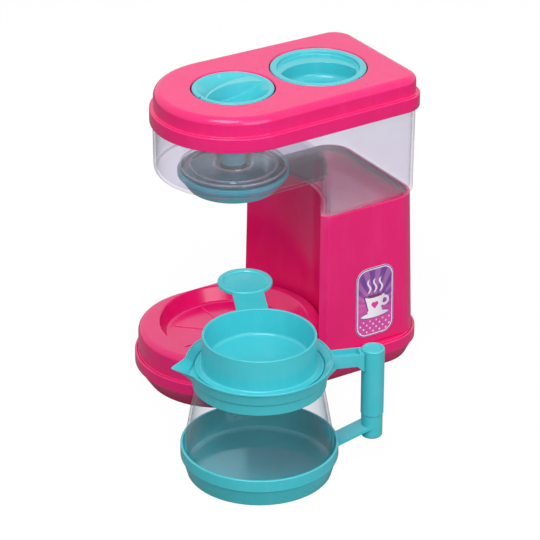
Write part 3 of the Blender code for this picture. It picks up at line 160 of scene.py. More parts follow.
def solid(name: str, mesh: bmesh.types.BMesh) -> bpy.types.Object:
    """Close a worked mesh and put it in the scene.

    Args:
        name: Name of the object.
        mesh: The worked mesh, which is used up.

    Returns:
        The object, with merged corners and faces that point outwards.
    """
    bmesh.ops.remove_doubles(mesh, verts=mesh.verts, dist=SAME_SPOT)
    bmesh.ops.recalc_face_normals(mesh, faces=mesh.faces)
    data = bpy.data.meshes.new(name)
    mesh.to_mesh(data)
    mesh.free()
    piece = bpy.data.objects.new(name, data)
    bpy.context.scene.collection.objects.link(piece)
    return piece


def turned(name: str, bends: Sequence[Bend], centre: Point = (0, 0), steps: int = ROUND_STEPS,
           start: float = 0.0) -> bpy.types.Object:
    """Spin a section round an upright axis.

    Args:
        name: Name of the object.
        bends: The section's corners as radius and height; a ring's section ends where it starts.
        centre: Where the axis stands.
        steps: Number of faces round the piece.
        start: Angle of the first corner.

    Returns:
        The turned object.
    """
    mesh = bmesh.new()
    turn = Matrix.Rotation(start, 4, "Z")
    verts = [mesh.verts.new(turn @ Vector((out, 0, up))) for out, up in rounded(bends)]
    edges = [mesh.edges.new(pair) for pair in zip(verts, verts[1:])]
    bmesh.ops.spin(mesh, geom=verts + edges, cent=(0, 0, 0), dvec=(0, 0, 0), axis=(0, 0, 1),
                   angle=math.tau, steps=steps, use_merge=True, use_normal_flip=False,
                   use_duplicate=False)
    bmesh.ops.translate(mesh, verts=mesh.verts, vec=(*centre, 0))
    return solid(name, mesh)


def drawn(name: str, rings: Sequence[Sequence[Vector]], capped: bool = True) -> bpy.types.Object:
    """Pull an outline through a row of places by extruding its edges.

    Args:
        name: Name of the object.
        rings: The outline's corners at each place; all have the same count.
        capped: Whether the first and last outlines are filled.

    Returns:
        The drawn object.
    """
    mesh = bmesh.new()
    verts = [mesh.verts.new(spot) for spot in rings[0]]
    edges = [mesh.edges.new(pair) for pair in zip(verts, verts[1:] + verts[:1])]
    if capped:
        bmesh.ops.edgeloop_fill(mesh, edges=edges)
    for ring in rings[1:]:
        made = bmesh.ops.extrude_edge_only(mesh, edges=edges)["geom"]
        fresh = {item for item in made if isinstance(item, bmesh.types.BMVert)}
        verts = [next(edge.other_vert(vert) for edge in vert.link_edges
                      if edge.other_vert(vert) in fresh) for vert in verts]
        edges = [item for item in made
                 if isinstance(item, bmesh.types.BMEdge) and set(item.verts) <= fresh]
        for vert, spot in zip(verts, ring):
            vert.co = spot
    if capped:
        bmesh.ops.edgeloop_fill(mesh, edges=edges)
    return solid(name, mesh)


def prism(name: str, outline: Sequence[Point], low: float, high: float) -> bpy.types.Object:
    """A straight piece over an outline seen from above."""
    return drawn(name, [[Vector((x, y, z)) for x, y in outline] for z in (low, high)])


def side_prism(name: str, outline: Sequence[Point], half_width: float) -> bpy.types.Object:
    """A piece whose outline of x and z is swept along Y to both sides."""
    return drawn(name, [[Vector((x, y, z)) for x, z in outline] for y in (-half_width, half_width)])


def moved(piece: bpy.types.Object, matrix: Matrix) -> bpy.types.Object:
    """The same piece with its mesh moved."""
    piece.data.transform(matrix)
    return piece


def combined(piece: bpy.types.Object, tools: Iterable[bpy.types.Object],
             operation: str) -> bpy.types.Object:
    """Join a piece with other solids, or cut it with them.

    Args:
        piece: The solid that is kept.
        tools: The other solids, which are used up.
        operation: UNION, DIFFERENCE or INTERSECT.

    Returns:
        The worked piece.
    """
    for tool in tools:
        modifier = piece.modifiers.new("shape", "BOOLEAN")
        modifier.operation = operation
        modifier.solver = "EXACT"
        modifier.object = tool
        graph = bpy.context.evaluated_depsgraph_get()
        graph.update()
        data = bpy.data.meshes.new_from_object(piece.evaluated_get(graph))
        piece.modifiers.clear()
        piece.data = data
        bpy.data.objects.remove(tool, do_unlink=True)
        mesh = bmesh.new()
        mesh.from_mesh(data)
        bmesh.ops.remove_doubles(mesh, verts=mesh.verts, dist=SAME_SPOT)
        mesh.to_mesh(data)
        mesh.free()
    return piece


def joined(piece: bpy.types.Object, *tools: bpy.types.Object) -> bpy.types.Object:
    """The union of the pieces."""
    return combined(piece, tools, "UNION")


def less(piece: bpy.types.Object, *tools: bpy.types.Object) -> bpy.types.Object:
    """The first piece without the others."""
    return combined(piece, tools, "DIFFERENCE")


def shared(piece: bpy.types.Object, *tools: bpy.types.Object) -> bpy.types.Object:
    """What the pieces have in common."""
    return combined(piece, tools, "INTERSECT")


def soften(piece: bpy.types.Object, width: float, segments: int = 3, angle: float = 40) -> None:
    """Round the sharp edges of a piece.

    Args:
        piece: The piece.
        width: How wide the rounding is.
        segments: How many faces go round it.
        angle: Edges that turn more than this many degrees are rounded.
    """
    bevel = piece.modifiers.new("soft edges", "BEVEL")
    bevel.width = width
    bevel.segments = segments
    bevel.limit_method = "ANGLE"
    bevel.angle_limit = math.radians(angle)
    bevel.profile = 0.5
    bevel.harden_normals = False


def dress(piece: bpy.types.Object, finish: bpy.types.Material, body: Body, slot: Slot,
          *nodes: str) -> bpy.types.Object:
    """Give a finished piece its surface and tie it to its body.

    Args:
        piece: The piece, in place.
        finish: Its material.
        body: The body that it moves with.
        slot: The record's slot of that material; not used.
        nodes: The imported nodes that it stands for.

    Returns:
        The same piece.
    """
    piece.data.materials.clear()
    piece.data.materials.append(finish)
    piece.data.shade_smooth()
    piece.data.set_sharp_from_angle(angle=SHARP_ANGLE)
    weighted = piece.modifiers.new("even shading", "WEIGHTED_NORMAL")
    weighted.keep_sharp = True
    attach(piece, body.value)
    if nodes:
        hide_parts(*nodes)
    LOG.info("%s: %d faces on %s", piece.name, len(piece.data.polygons), body.value)
    return piece


def retouch(piece: bpy.types.Object, finish: bpy.types.Material,
            chosen: Callable[[bpy.types.MeshPolygon], bool]) -> None:
    """Give some faces of a dressed piece another finish.

    Args:
        piece: The piece.
        finish: The material of the chosen faces.
        chosen: Tells which faces get it.
    """
    piece.data.materials.append(finish)
    for face in piece.data.polygons:
        if chosen(face):
            face.material_index = 1


# ---------------------------------------------------------------- outlines


@dataclass(frozen=True)
class Oblong:
    """An outline from above: a half circle in front, straight sides and two round rear corners."""

    half_width: float
    front_y: float
    rear_half_width: float
    rear_y: float
    corner_r: float

    def inset(self, by: float) -> "Oblong":
        """The same outline moved inwards."""
        return Oblong(self.half_width - by, self.front_y, self.rear_half_width - by,
                      self.rear_y - by, self.corner_r - by)

    def towards(self, other: "Oblong", share: float) -> "Oblong":
        """An outline between this one, at share 0, and another, at share 1."""
        mixed = {name: getattr(self, name) + (getattr(other, name) - getattr(self, name)) * share
                 for name in self.__dataclass_fields__}
        return Oblong(**mixed)

    def ring(self, z: float) -> list[Vector]:
        """The outline's corners at a height."""
        nose = arc(self.half_width, math.pi, math.tau, NOSE_STEPS, (0, self.front_y))
        tail = rounded([Bend(*nose[-1]),
                        Bend(self.rear_half_width, self.rear_y, self.corner_r, CORNER_STEPS),
                        Bend(-self.rear_half_width, self.rear_y, self.corner_r, CORNER_STEPS),
                        Bend(*nose[0])])
        return [Vector((x, y, z)) for x, y in nose + tail[1:-1]]


@dataclass(frozen=True)
class Crescent:
    """An outline with a hollowed front, two slanted strips, straight sides and round rear corners."""

    half_width: float
    rear_y: float
    corner_r: float
    scoop_r: float
    strip_in: float = 0.0055
    strip_run: float = 0.0041
    tip_r: float = 0.0009
    edge_r: float = 0.0028

    def inset(self, by: float) -> "Crescent":
        """The same outline moved inwards."""
        return replace(self, half_width=self.half_width - by, rear_y=self.rear_y - by,
                       corner_r=self.corner_r - by, scoop_r=self.scoop_r + by)

    def hollow(self) -> list[Point]:
        """The points of the hollowed front, from -X to +X."""
        tip = math.acos((self.half_width - self.strip_in) / self.scoop_r)
        return arc(self.scoop_r, math.pi - tip, tip, SCOOP_STEPS)

    def ring(self, z: float) -> list[Vector]:
        """The outline's corners at a height."""
        front = self.hollow()
        strip_y = front[-1][1] + self.strip_run
        wide = self.half_width
        rest = rounded([Bend(*front[-2]), Bend(*front[-1], self.tip_r, 4),
                        Bend(wide, strip_y, self.edge_r, 6),
                        Bend(wide, self.rear_y, self.corner_r, CORNER_STEPS),
                        Bend(-wide, self.rear_y, self.corner_r, CORNER_STEPS),
                        Bend(-wide, strip_y, self.edge_r, 6),
                        Bend(*front[0], self.tip_r, 4), Bend(*front[1])])
        return [Vector((x, y, z)) for x, y in front[1:-1] + rest[1:-1]]


@dataclass(frozen=True)
class TrayOutline:
    """The raised front of the base: a half circle in front, short sides and an arc behind."""

    half_width: float
    front_y: float
    rear_r: float

    def inset(self, by: float) -> "TrayOutline":
        """The same outline moved inwards."""
        return TrayOutline(self.half_width - by, self.front_y, self.rear_r - by)

    def ring(self, z: float) -> list[Vector]:
        """The outline's corners at a height."""
        nose = arc(self.half_width, math.pi, math.tau, NOSE_STEPS, (0, self.front_y))
        start = math.acos(self.half_width / self.rear_r)
        back = arc(self.rear_r, start, math.pi - start, NOSE_STEPS)
        return [Vector((x, y, z)) for x, y in nose + back]


LID_OUTLINE = Oblong(0.0578, 0.0, 0.0556, 0.1266, 0.0185)
LID_TOP_Z = 0.2200
TANK_FLOOR_Z = 0.1600
TANK_WELL_Z = 0.1312
KNOB_R = 0.0285
CAP_CENTRE = (0.0, 0.0698)
CAP_R = 0.0338
SLEEVE_R = 0.0126
BASKET_R = 0.0390
SCOOP_R = 0.0630
COLUMN_TOP = Crescent(0.0530, 0.1218, 0.0180, SCOOP_R)
COLUMN_FOOT = Crescent(0.0545, 0.1247, 0.0180, SCOOP_R)
COLUMN_FOOT_Z = 0.0233
COLUMN_RIM_Z = TANK_WELL_Z - PLAY
CARAFE_CENTRE = (0.1275, -0.0586)
HANDLE_ANGLE = math.radians(70.2)
SPOUT_ANGLE = HANDLE_ANGLE + math.pi


def column_half_width(z: float) -> float:
    """Half the column's width at a height; it widens a little towards its foot."""
    share = (z - COLUMN_FOOT_Z) / (COLUMN_RIM_Z - COLUMN_FOOT_Z)
    return COLUMN_FOOT.half_width + (COLUMN_TOP.half_width - COLUMN_FOOT.half_width) * share


# ---------------------------------------------------------------- shader tools


class Signal:
    """One output of a shader node; plain arithmetic on it adds Math nodes."""

    def __init__(self, shader: "Shader", socket: bpy.types.NodeSocket) -> None:
        """Wrap a socket of a shader."""
        self.shader = shader
        self.socket = socket

    def __add__(self, other: "Signal | float") -> "Signal":
        """self + other"""
        return self.shader.maths("ADD", self, other)

    __radd__ = __add__

    def __sub__(self, other: "Signal | float") -> "Signal":
        """self - other"""
        return self.shader.maths("SUBTRACT", self, other)

    def __rsub__(self, other: float) -> "Signal":
        """other - self"""
        return self.shader.maths("SUBTRACT", other, self)

    def __mul__(self, other: "Signal | float") -> "Signal":
        """self * other"""
        return self.shader.maths("MULTIPLY", self, other)

    __rmul__ = __mul__

    def __truediv__(self, other: "Signal | float") -> "Signal":
        """self / other"""
        return self.shader.maths("DIVIDE", self, other)

    def __rtruediv__(self, other: float) -> "Signal":
        """other / self"""
        return self.shader.maths("DIVIDE", other, self)

    def __pow__(self, other: float) -> "Signal":
        """self ** other"""
        return self.shader.maths("POWER", self, other)

    def __abs__(self) -> "Signal":
        """The size without the sign."""
        return self.shader.maths("ABSOLUTE", self)


class Shader:
    """Builds one node material."""

    def __init__(self, name: str) -> None:
        """Start an empty material of that name."""
        self.material = bpy.data.materials.new(name)
        self.material.use_nodes = True
        self.tree = self.material.node_tree
        self.tree.nodes.clear()

    def feed(self, socket: bpy.types.NodeSocket, value: object) -> None:
        """Set an input to a value, or link a signal to it."""
        if isinstance(value, Signal):
            self.tree.links.new(value.socket, socket)
        else:
            socket.default_value = value

    def node(self, kind: str, settings: dict | None = None, inputs: dict | None = None,
             output: int | str = 0) -> Signal:
        """Add a node.

        Args:
            kind: The node's type.
            settings: Its properties, set first; "stops" are a ramp's places and colours.
            inputs: Values or signals for its inputs.
            output: Which output is wanted.

        Returns:
            That output.
        """
        made = self.tree.nodes.new(kind)
        for key, value in (settings or {}).items():
            if key == "stops":
                ramp = made.color_ramp
                for place, colour in value[2:]:
                    ramp.elements.new(place)
                for element, (place, colour) in zip(ramp.elements, sorted(value)):
                    element.position = place
                    element.color = (*colour, 1.0)
            else:
                setattr(made, key, value)
        for key, value in (inputs or {}).items():
            self.feed(made.inputs[key], value)
        return Signal(self, made.outputs[output])

    def maths(self, operation: str, *values: "Signal | float") -> Signal:
        """A sum on numbers."""
        return self.node("ShaderNodeMath", {"operation": operation}, dict(enumerate(values)))

    def limited(self, value: Signal) -> Signal:
        """A number held between 0 and 1."""
        return self.node("ShaderNodeClamp", None, {"Value": value})

    def step(self, value: Signal, low: float, high: float) -> Signal:
        """0 where a number is at low, 1 where it is at high, and smooth between them."""
        return self.node("ShaderNodeMapRange", {"interpolation_type": "SMOOTHSTEP"},
                         {"Value": value, "From Min": low, "From Max": high})

    def mix(self, share: "Signal | float", base: "Signal | Colour",
            over: "Signal | Colour", blend: str = "MIX") -> Signal:
        """Two colours mixed by a share."""
        settings = {"data_type": "RGBA", "blend_type": blend}
        colours = [value if isinstance(value, Signal) else (*value, 1.0) for value in (base, over)]
        return self.node("ShaderNodeMix", settings, {0: share, 6: colours[0], 7: colours[1]}, 2)

    def place(self) -> Signal:
        """Where on the piece a spot is, in metres."""
        return self.node("ShaderNodeTexCoord", output="Object")

    def moved(self, where: Signal, by: tuple[float, float, float],
              scale: tuple[float, float, float] = (1, 1, 1)) -> Signal:
        """A place shifted and stretched."""
        return self.node("ShaderNodeMapping", None, {"Vector": where, "Location": by, "Scale": scale})

    def noise(self, where: Signal, scale: float, detail: float = 2.0, rough: float = 0.5) -> Signal:
        """Soft random clouds from 0 to 1."""
        return self.node("ShaderNodeTexNoise", None,
                         {"Vector": where, "Scale": scale, "Detail": detail, "Roughness": rough})

    def bump(self, height: Signal, strength: float, depth: float) -> Signal:
        """A surface normal from a height."""
        return self.node("ShaderNodeBump", None,
                         {"Height": height, "Strength": strength, "Distance": depth})

    def blend(self, share: Signal, under: Signal, over: Signal) -> Signal:
        """Two surfaces mixed by a share."""
        return self.node("ShaderNodeMixShader", None, {0: share, 1: under, 2: over})

    def parts(self, where: Signal) -> list[Signal]:
        """The three parts of a place."""
        made = self.tree.nodes.new("ShaderNodeSeparateXYZ")
        self.feed(made.inputs[0], where)
        return [Signal(self, socket) for socket in made.outputs]

    def done(self, surface: Signal) -> bpy.types.Material:
        """Link the surface to the output and give the material."""
        output = self.tree.nodes.new("ShaderNodeOutputMaterial")
        self.tree.links.new(surface.socket, output.inputs["Surface"])
        return self.material


def edge_mask(shader: Shader, low: float, high: float) -> Signal:
    """Where a surface turns outwards over an edge, from 0 to 1."""
    return shader.step(shader.node("ShaderNodeNewGeometry", output="Pointiness"), low, high)


@dataclass(frozen=True)
class MouldedPlastic:
    """Glossy moulded plastic with faint mottling, an orange-peel skin and paler worn edges."""

    name: str
    colour: Colour
    deep: Colour
    worn: Colour
    roughness: float = 0.17
    skin: float = 0.045
    wear: float = 0.22

    def make(self) -> bpy.types.Material:
        """Build the material."""
        shader = Shader(self.name)
        where = shader.place()
        clouds = shader.noise(where, 38, 3, 0.55)
        flow = shader.noise(shader.moved(where, (0.1, 0.2, 0), (1, 1, 0.25)), 95, 3, 0.6)
        peel = shader.noise(where, 520, 2, 0.5)
        grain = shader.noise(where, 2600, 2, 0.6)
        smudge = shader.step(shader.noise(where, 62, 5, 0.62), 0.42, 0.74)
        edge = edge_mask(shader, 0.515, 0.60)
        colour = shader.mix(shader.step(clouds, 0.30, 0.72) * 0.55, self.colour, self.deep)
        colour = shader.mix(shader.step(flow, 0.45, 0.80) * 0.10, colour, self.worn)
        colour = shader.mix(edge * (0.5 + flow) * self.wear, colour, self.worn)
        rough = self.roughness + smudge * 0.06 + (grain - 0.5) * 0.06 + edge * 0.05
        height = peel * 0.9 + grain * 0.06
        surface = shader.node("ShaderNodeBsdfPrincipled", None, {
            "Base Color": colour, "Roughness": rough, "IOR": 1.52,
            "Normal": shader.bump(height, self.skin, 0.0004)})
        return shader.done(surface)


@dataclass(frozen=True)
class ClearPlastic:
    """Clear moulded plastic: tinted, mirror-like where it is seen edge on, with painted pale highlights
    on its edges.
    """

    name: str
    tint: Colour
    milk_and_sheen: Colour = (0.80, 0.76, 0.86)
    haze: float = 0.012
    # How strongly a painted pale highlight is laid on rounded edges.
    edge_sheen_paint: float = 0.30
    mirror: float = 0.030
    rim: float = 0.75

    def make(self) -> bpy.types.Material:
        """Build the material."""
        shader = Shader(self.name)
        where = shader.place()
        clouds = shader.noise(where, 55, 3, 0.6)
        scuff = shader.step(shader.noise(shader.moved(where, (0, 0, 0), (0.4, 1, 2.2)), 210, 4, 0.7),
                            0.68, 0.80)
        ripple = shader.noise(where, 120, 2, 0.5)
        grain = shader.noise(where, 1900, 2, 0.6)
        edge = edge_mask(shader, 0.515, 0.60)
        facing = shader.node("ShaderNodeLayerWeight", None, {"Blend": 0.5}, "Facing")
        normal = shader.bump(ripple * 0.7 + grain * 0.04, 0.05, 0.0006)
        clear = shader.node("ShaderNodeBsdfTransparent", None, {"Color": (*self.tint, 1.0)})
        milk_and_sheen = shader.node("ShaderNodeBsdfPrincipled", None, {
            "Base Color": shader.mix(clouds, self.milk_and_sheen, (0.93, 0.92, 0.97)),
            "Roughness": 0.22 + scuff * 0.2, "Normal": normal})
        gloss = shader.node("ShaderNodeBsdfPrincipled", None, {
            "Base Color": shader.mix(clouds * 0.4, (1.0, 1.0, 1.0), (0.94, 0.93, 1.0)),
            "Metallic": 1.0, "Roughness": 0.03 + scuff * 0.10 + grain * 0.02, "Normal": normal})
        # Real haze and scuffs, plus the edge term, which paints a pale highlight on rounded edges.
        haze = shader.limited(self.haze * (0.5 + clouds) + scuff * 0.035 + edge * self.edge_sheen_paint)
        shine = shader.limited(self.mirror + facing ** 4.6 * self.rim)
        body = shader.blend(shine, shader.blend(haze, clear, milk_and_sheen), gloss)
        open_air = shader.node("ShaderNodeBsdfTransparent", None, {"Color": WHITE})
        passing = shader.maths("MAXIMUM",
                               shader.node("ShaderNodeLightPath", output="Is Shadow Ray"),
                               shader.node("ShaderNodeLightPath", output="Is Diffuse Ray"))
        return shader.done(shader.blend(passing, body, open_air))


@dataclass(frozen=True)
class Rubber:
    """Matte black rubber with a fine grain and a dusty bloom."""

    name: str
    colour: Colour = (0.022, 0.022, 0.026)

    def make(self) -> bpy.types.Material:
        """Build the material."""
        shader = Shader(self.name)
        where = shader.place()
        bloom = shader.step(shader.noise(where, 240, 4, 0.6), 0.45, 0.75)
        grain = shader.noise(where, 3200, 3, 0.6)
        colour = shader.mix(bloom * 0.5, self.colour, (0.075, 0.075, 0.08))
        return shader.done(shader.node("ShaderNodeBsdfPrincipled", None, {
            "Base Color": colour, "Roughness": 0.62 + grain * 0.25,
            "Normal": shader.bump(grain, 0.35, 0.0002)}))


@dataclass(frozen=True)
class PlatedSteel:
    """Zinc-plated screw steel with turning marks and darker stains."""

    name: str
    colour: Colour = (0.56, 0.56, 0.58)

    def make(self) -> bpy.types.Material:
        """Build the material."""
        shader = Shader(self.name)
        where = shader.place()
        marks = shader.noise(shader.moved(where, (0, 0, 0), (1, 1, 9)), 900, 3, 0.6)
        stain = shader.step(shader.noise(where, 420, 4, 0.6), 0.5, 0.8)
        colour = shader.mix(stain * 0.5, self.colour, (0.30, 0.28, 0.26))
        return shader.done(shader.node("ShaderNodeBsdfPrincipled", None, {
            "Base Color": colour, "Metallic": 1.0, "Roughness": 0.24 + marks * 0.22 + stain * 0.15,
            "Normal": shader.bump(marks, 0.2, 0.0002)}))


@dataclass(frozen=True)
class LabelPrint:
    """A printed label: a steaming cup over a saucer on a violet and magenta field."""

    name: str
    centre_y: float
    centre_z: float
    half_width: float
    half_height: float
    corner_r: float
    violet: Colour = (0.095, 0.030, 0.300)
    magenta: Colour = (0.66, 0.045, 0.36)
    pale: Colour = (0.93, 0.80, 0.90)
    blush: Colour = (0.90, 0.33, 0.62)

    def blot(self, shader: Shader, across: Signal, up: Signal, at: Point,
             size: Point, soft: float = 0.00025) -> Signal:
        """An oval of the print.

        Args:
            shader: The material being built.
            across: Place across the label.
            up: Place up the label.
            at: The oval's middle.
            size: Its half width and half height.
            soft: Width of its blurred edge.

        Returns:
            1 inside the oval and 0 outside.
        """
        reach = (((across - at[0]) / size[0]) ** 2 + ((up - at[1]) / size[1]) ** 2) ** 0.5
        return 1 - shader.step((reach - 1) * min(size), -soft, soft)

    def make(self) -> bpy.types.Material:
        """Build the material."""
        shader = Shader(self.name)
        where = shader.place()
        _, along, height = shader.parts(where)
        across = along - self.centre_y
        up = height - self.centre_z
        clouds = shader.noise(where, 90, 3, 0.6)
        grain = shader.noise(where, 4200, 2, 0.6)
        wide = shader.maths("MAXIMUM", abs(across) - (self.half_width - self.corner_r), 0)
        tall = shader.maths("MAXIMUM", abs(up) - (self.half_height - self.corner_r), 0)
        inside = self.corner_r - (wide ** 2 + tall ** 2) ** 0.5
        wave = across * 0.35 + shader.maths("SINE", across * 260) * 0.0016
        field = shader.mix(shader.step(up + wave, 0.009, -0.008), self.violet, self.magenta)
        field = shader.mix(clouds * 0.25, field, self.blush)
        rays = shader.step(shader.maths("SINE", shader.maths("ARCTAN2", up + 0.004, across) * 18),
                           -0.15, 0.15) * shader.step(up, -0.012, 0.004)
        field = shader.mix(rays * 0.30, field, self.blush)
        dots = (shader.maths("SINE", across * 1150) * shader.maths("SINE", up * 1150))
        field = shader.mix(shader.step(dots, 0.62, 0.74) * shader.step(up, -0.013, -0.016),
                           field, self.pale)
        steam = 0.0
        for middle in (-0.0050, 0.0, 0.0050):
            drift = shader.maths("SINE", (up - 0.008) * 620) * 0.0011
            line = 1 - shader.step(abs(across - middle - drift), 0.00055, 0.00095)
            steam = shader.maths("MAXIMUM", line, steam)
        steam = steam * shader.step(up, 0.0062, 0.0080) * shader.step(up, 0.0188, 0.0165)
        field = shader.mix(steam, field, self.pale)
        saucer = self.blot(shader, across, up, (0.0, -0.0105), (0.0118, 0.0021))
        grip = (1 - shader.step(abs((((across - 0.0082) ** 2 + (up + 0.0012) ** 2) ** 0.5) - 0.0030),
                                0.0008, 0.0012))
        slope = abs(across) + (0.0042 - up) * 0.28
        cup = (1 - shader.step(slope, 0.0081, 0.0086)) * shader.step(up, -0.0099, -0.0094) \
            * shader.step(up, 0.0046, 0.0041)
        foot = 1 - shader.step(((across / 0.0062) ** 2 + ((up + 0.0078) / 0.0030) ** 2), 0.95, 1.1)
        shape = shader.maths("MAXIMUM", shader.maths("MAXIMUM", saucer, grip),
                             shader.maths("MAXIMUM", cup, foot))
        outline_soft = 0.00085
        halo = shader.maths("MAXIMUM", self.blot(shader, across, up, (0.0, -0.0105),
                                                 (0.0118 + outline_soft, 0.0021 + outline_soft)),
                            1 - shader.step(slope, 0.0090, 0.0096))
        halo = halo * shader.step(up, -0.0132, -0.0126) * shader.step(up, 0.0056, 0.0050)
        field = shader.mix(halo, field, self.violet)
        china = shader.mix(shader.step(across, -0.004, 0.010) * 0.55, (0.97, 0.94, 0.97),
                           (0.72, 0.52, 0.76))
        field = shader.mix(shape, field, china)
        drink = self.blot(shader, across, up, (0.0, 0.0040), (0.0066, 0.0011))
        field = shader.mix(drink, field, (0.20, 0.05, 0.10))
        lobes = [self.blot(shader, across, up, (middle, -0.0022), (0.0017, 0.0017))
                 for middle in (-0.0013, 0.0013)]
        heart = shader.maths("MAXIMUM", *lobes)
        point = (1 - shader.step(abs(across) + abs(up + 0.0031) * 0.95, 0.0026, 0.0030)) \
            * shader.step(up, -0.0019, -0.0023)
        field = shader.mix(shader.maths("MAXIMUM", heart, point), field, (0.80, 0.05, 0.33))
        border = shader.step(inside, 0.0019, 0.0016) * shader.step(inside, 0.0008, 0.0011)
        field = shader.mix(border, field, self.pale)
        field = shader.mix(shader.step(inside, 0.0009, 0.0006), field, (0.13, 0.05, 0.36))
        field = shader.mix(shader.step(inside, 0.00035, 0.0001) * 0.7, field, (0.93, 0.88, 0.95))
        scuff = shader.step(shader.noise(where, 520, 4, 0.7), 0.70, 0.78)
        field = shader.mix(scuff * 0.22, field, self.pale)
        surface = shader.node("ShaderNodeBsdfPrincipled", None, {
            "Base Color": field, "Roughness": 0.26 + clouds * 0.10 + scuff * 0.2,
            "Normal": shader.bump(grain * 0.6 + shape * 0.3 + border * 0.2, 0.10, 0.0002)})
        return shader.done(surface)


class Finishes:
    """The materials of the whole toy, each made once."""

    def __init__(self) -> None:
        """Make every material."""
        self.pink = MouldedPlastic("pink moulding", (0.84, 0.007, 0.172), (0.79, 0.005, 0.150),
                                   (0.93, 0.10, 0.30)).make()
        self.teal = MouldedPlastic("teal moulding", (0.058, 0.535, 0.610), (0.046, 0.500, 0.575),
                                   (0.24, 0.72, 0.80)).make()
        self.tank = ClearPlastic("clear tank", (0.928, 0.918, 0.956)).make()
        self.glass = ClearPlastic("clear carafe", (0.940, 0.950, 0.965), haze=0.004, mirror=0.014).make()
        # Painted light: a darker tint, pale pink milk and more mirror lay dark lines and highlights on
        # the tank's ribs, flare and lower front fold.
        self.edge = ClearPlastic("clear edges painted glints", (0.80, 0.76, 0.84), (0.86, 0.74, 0.84),
                                 haze=0.26, edge_sheen_paint=0.35, mirror=0.12).make()
        self.rubber = Rubber("seal rubber").make()
        self.steel = PlatedSteel("screw steel").make()


# ---------------------------------------------------------------- machine


@dataclass(frozen=True)
class Lid:
    """The pink cap of the tank, with a well for the knob and a hole for the fill cap."""

    step_z: float = 0.2067
    skirt_bottom: float = 0.1962
    skirt_wall: float = 0.0026
    step_in: float = 0.0027
    wall: float = 0.0020
    edge_r: float = 0.0054
    seat_z: float = 0.2047
    rim_soft: float = 0.0013
    knob_floor: float = 0.2084
    knob_gap: float = 0.0008
    sleeve_gap: float = 0.0007
    cap_gap: float = 0.0005
    cap_drop: float = 0.0035
    fill_r: float = 0.0307
    collar_wall: float = 0.0018
    collar_low: float = 0.2090

    def build(self) -> bpy.types.Object:
        """Draw the stepped shell and sink its two wells.

        Returns:
            The lid.
        """
        top = LID_TOP_Z
        inner = self.step_in + self.wall
        path = rounded([
            Bend(inner, top - self.wall), Bend(inner, self.seat_z, 0.0004, 3),
            Bend(self.skirt_wall, self.seat_z, 0.0004, 3),
            Bend(self.skirt_wall, self.skirt_bottom, 0.0005, 3),
            Bend(0, self.skirt_bottom, 0.0009, 5), Bend(0, self.step_z, 0.0010, 6),
            Bend(self.step_in, self.step_z, 0.0007, 5),
            Bend(self.step_in + 0.0002, top, self.edge_r, 16), Bend(0.0125, top)])
        shell = drawn("lid", [LID_OUTLINE.inset(out).ring(z) for out, z in path])
        well_r = KNOB_R + self.knob_gap
        rim_r = CAP_R + self.cap_gap
        ledge = top - self.cap_drop
        under = top - self.wall / 2
        knob_low = self.knob_floor - self.wall
        collar_r = self.fill_r + self.collar_wall
        cups = [turned("knob cup", [Bend(0, knob_low), Bend(well_r + self.wall, knob_low, 0.0012),
                                    Bend(well_r + self.wall, under), Bend(0, under)]),
                turned("cap cup", [Bend(0, self.collar_low), Bend(collar_r, self.collar_low),
                                   Bend(collar_r, ledge - self.wall),
                                   Bend(rim_r + self.wall, ledge - self.wall),
                                   Bend(rim_r + self.wall, under), Bend(0, under)], CAP_CENTRE)]
        holes = [self.sink("knob hole", SLEEVE_R + self.sleeve_gap, knob_low - OVERRUN,
                           self.knob_floor, well_r, (0, 0)),
                 self.sink("cap hole", self.fill_r, self.collar_low - OVERRUN, ledge, rim_r,
                           CAP_CENTRE)]
        return less(joined(shell, *cups), *holes)

    def sink(self, name: str, bore_r: float, low: float, floor: float, rim_r: float,
             centre: Point) -> bpy.types.Object:
        """The tool that cuts a well.

        Args:
            name: Name of the tool.
            bore_r: Radius of the hole through the well's floor.
            low: Where the tool starts.
            floor: Height of the well's floor.
            rim_r: Radius of the well.
            centre: The well's axis.

        Returns:
            A turned tool whose top flares out to round the well's rim.
        """
        top = LID_TOP_Z + HAIR
        soft = self.rim_soft
        mouth_r = rim_r + soft * PAST_BEND
        return turned(name, [Bend(0, low), Bend(bore_r, low), Bend(bore_r, floor),
                             Bend(rim_r, floor, 0.0006, 3), Bend(rim_r, top, soft, 5),
                             Bend(mouth_r, top), Bend(mouth_r, top + OVERRUN),
                             Bend(0, top + OVERRUN)], centre)


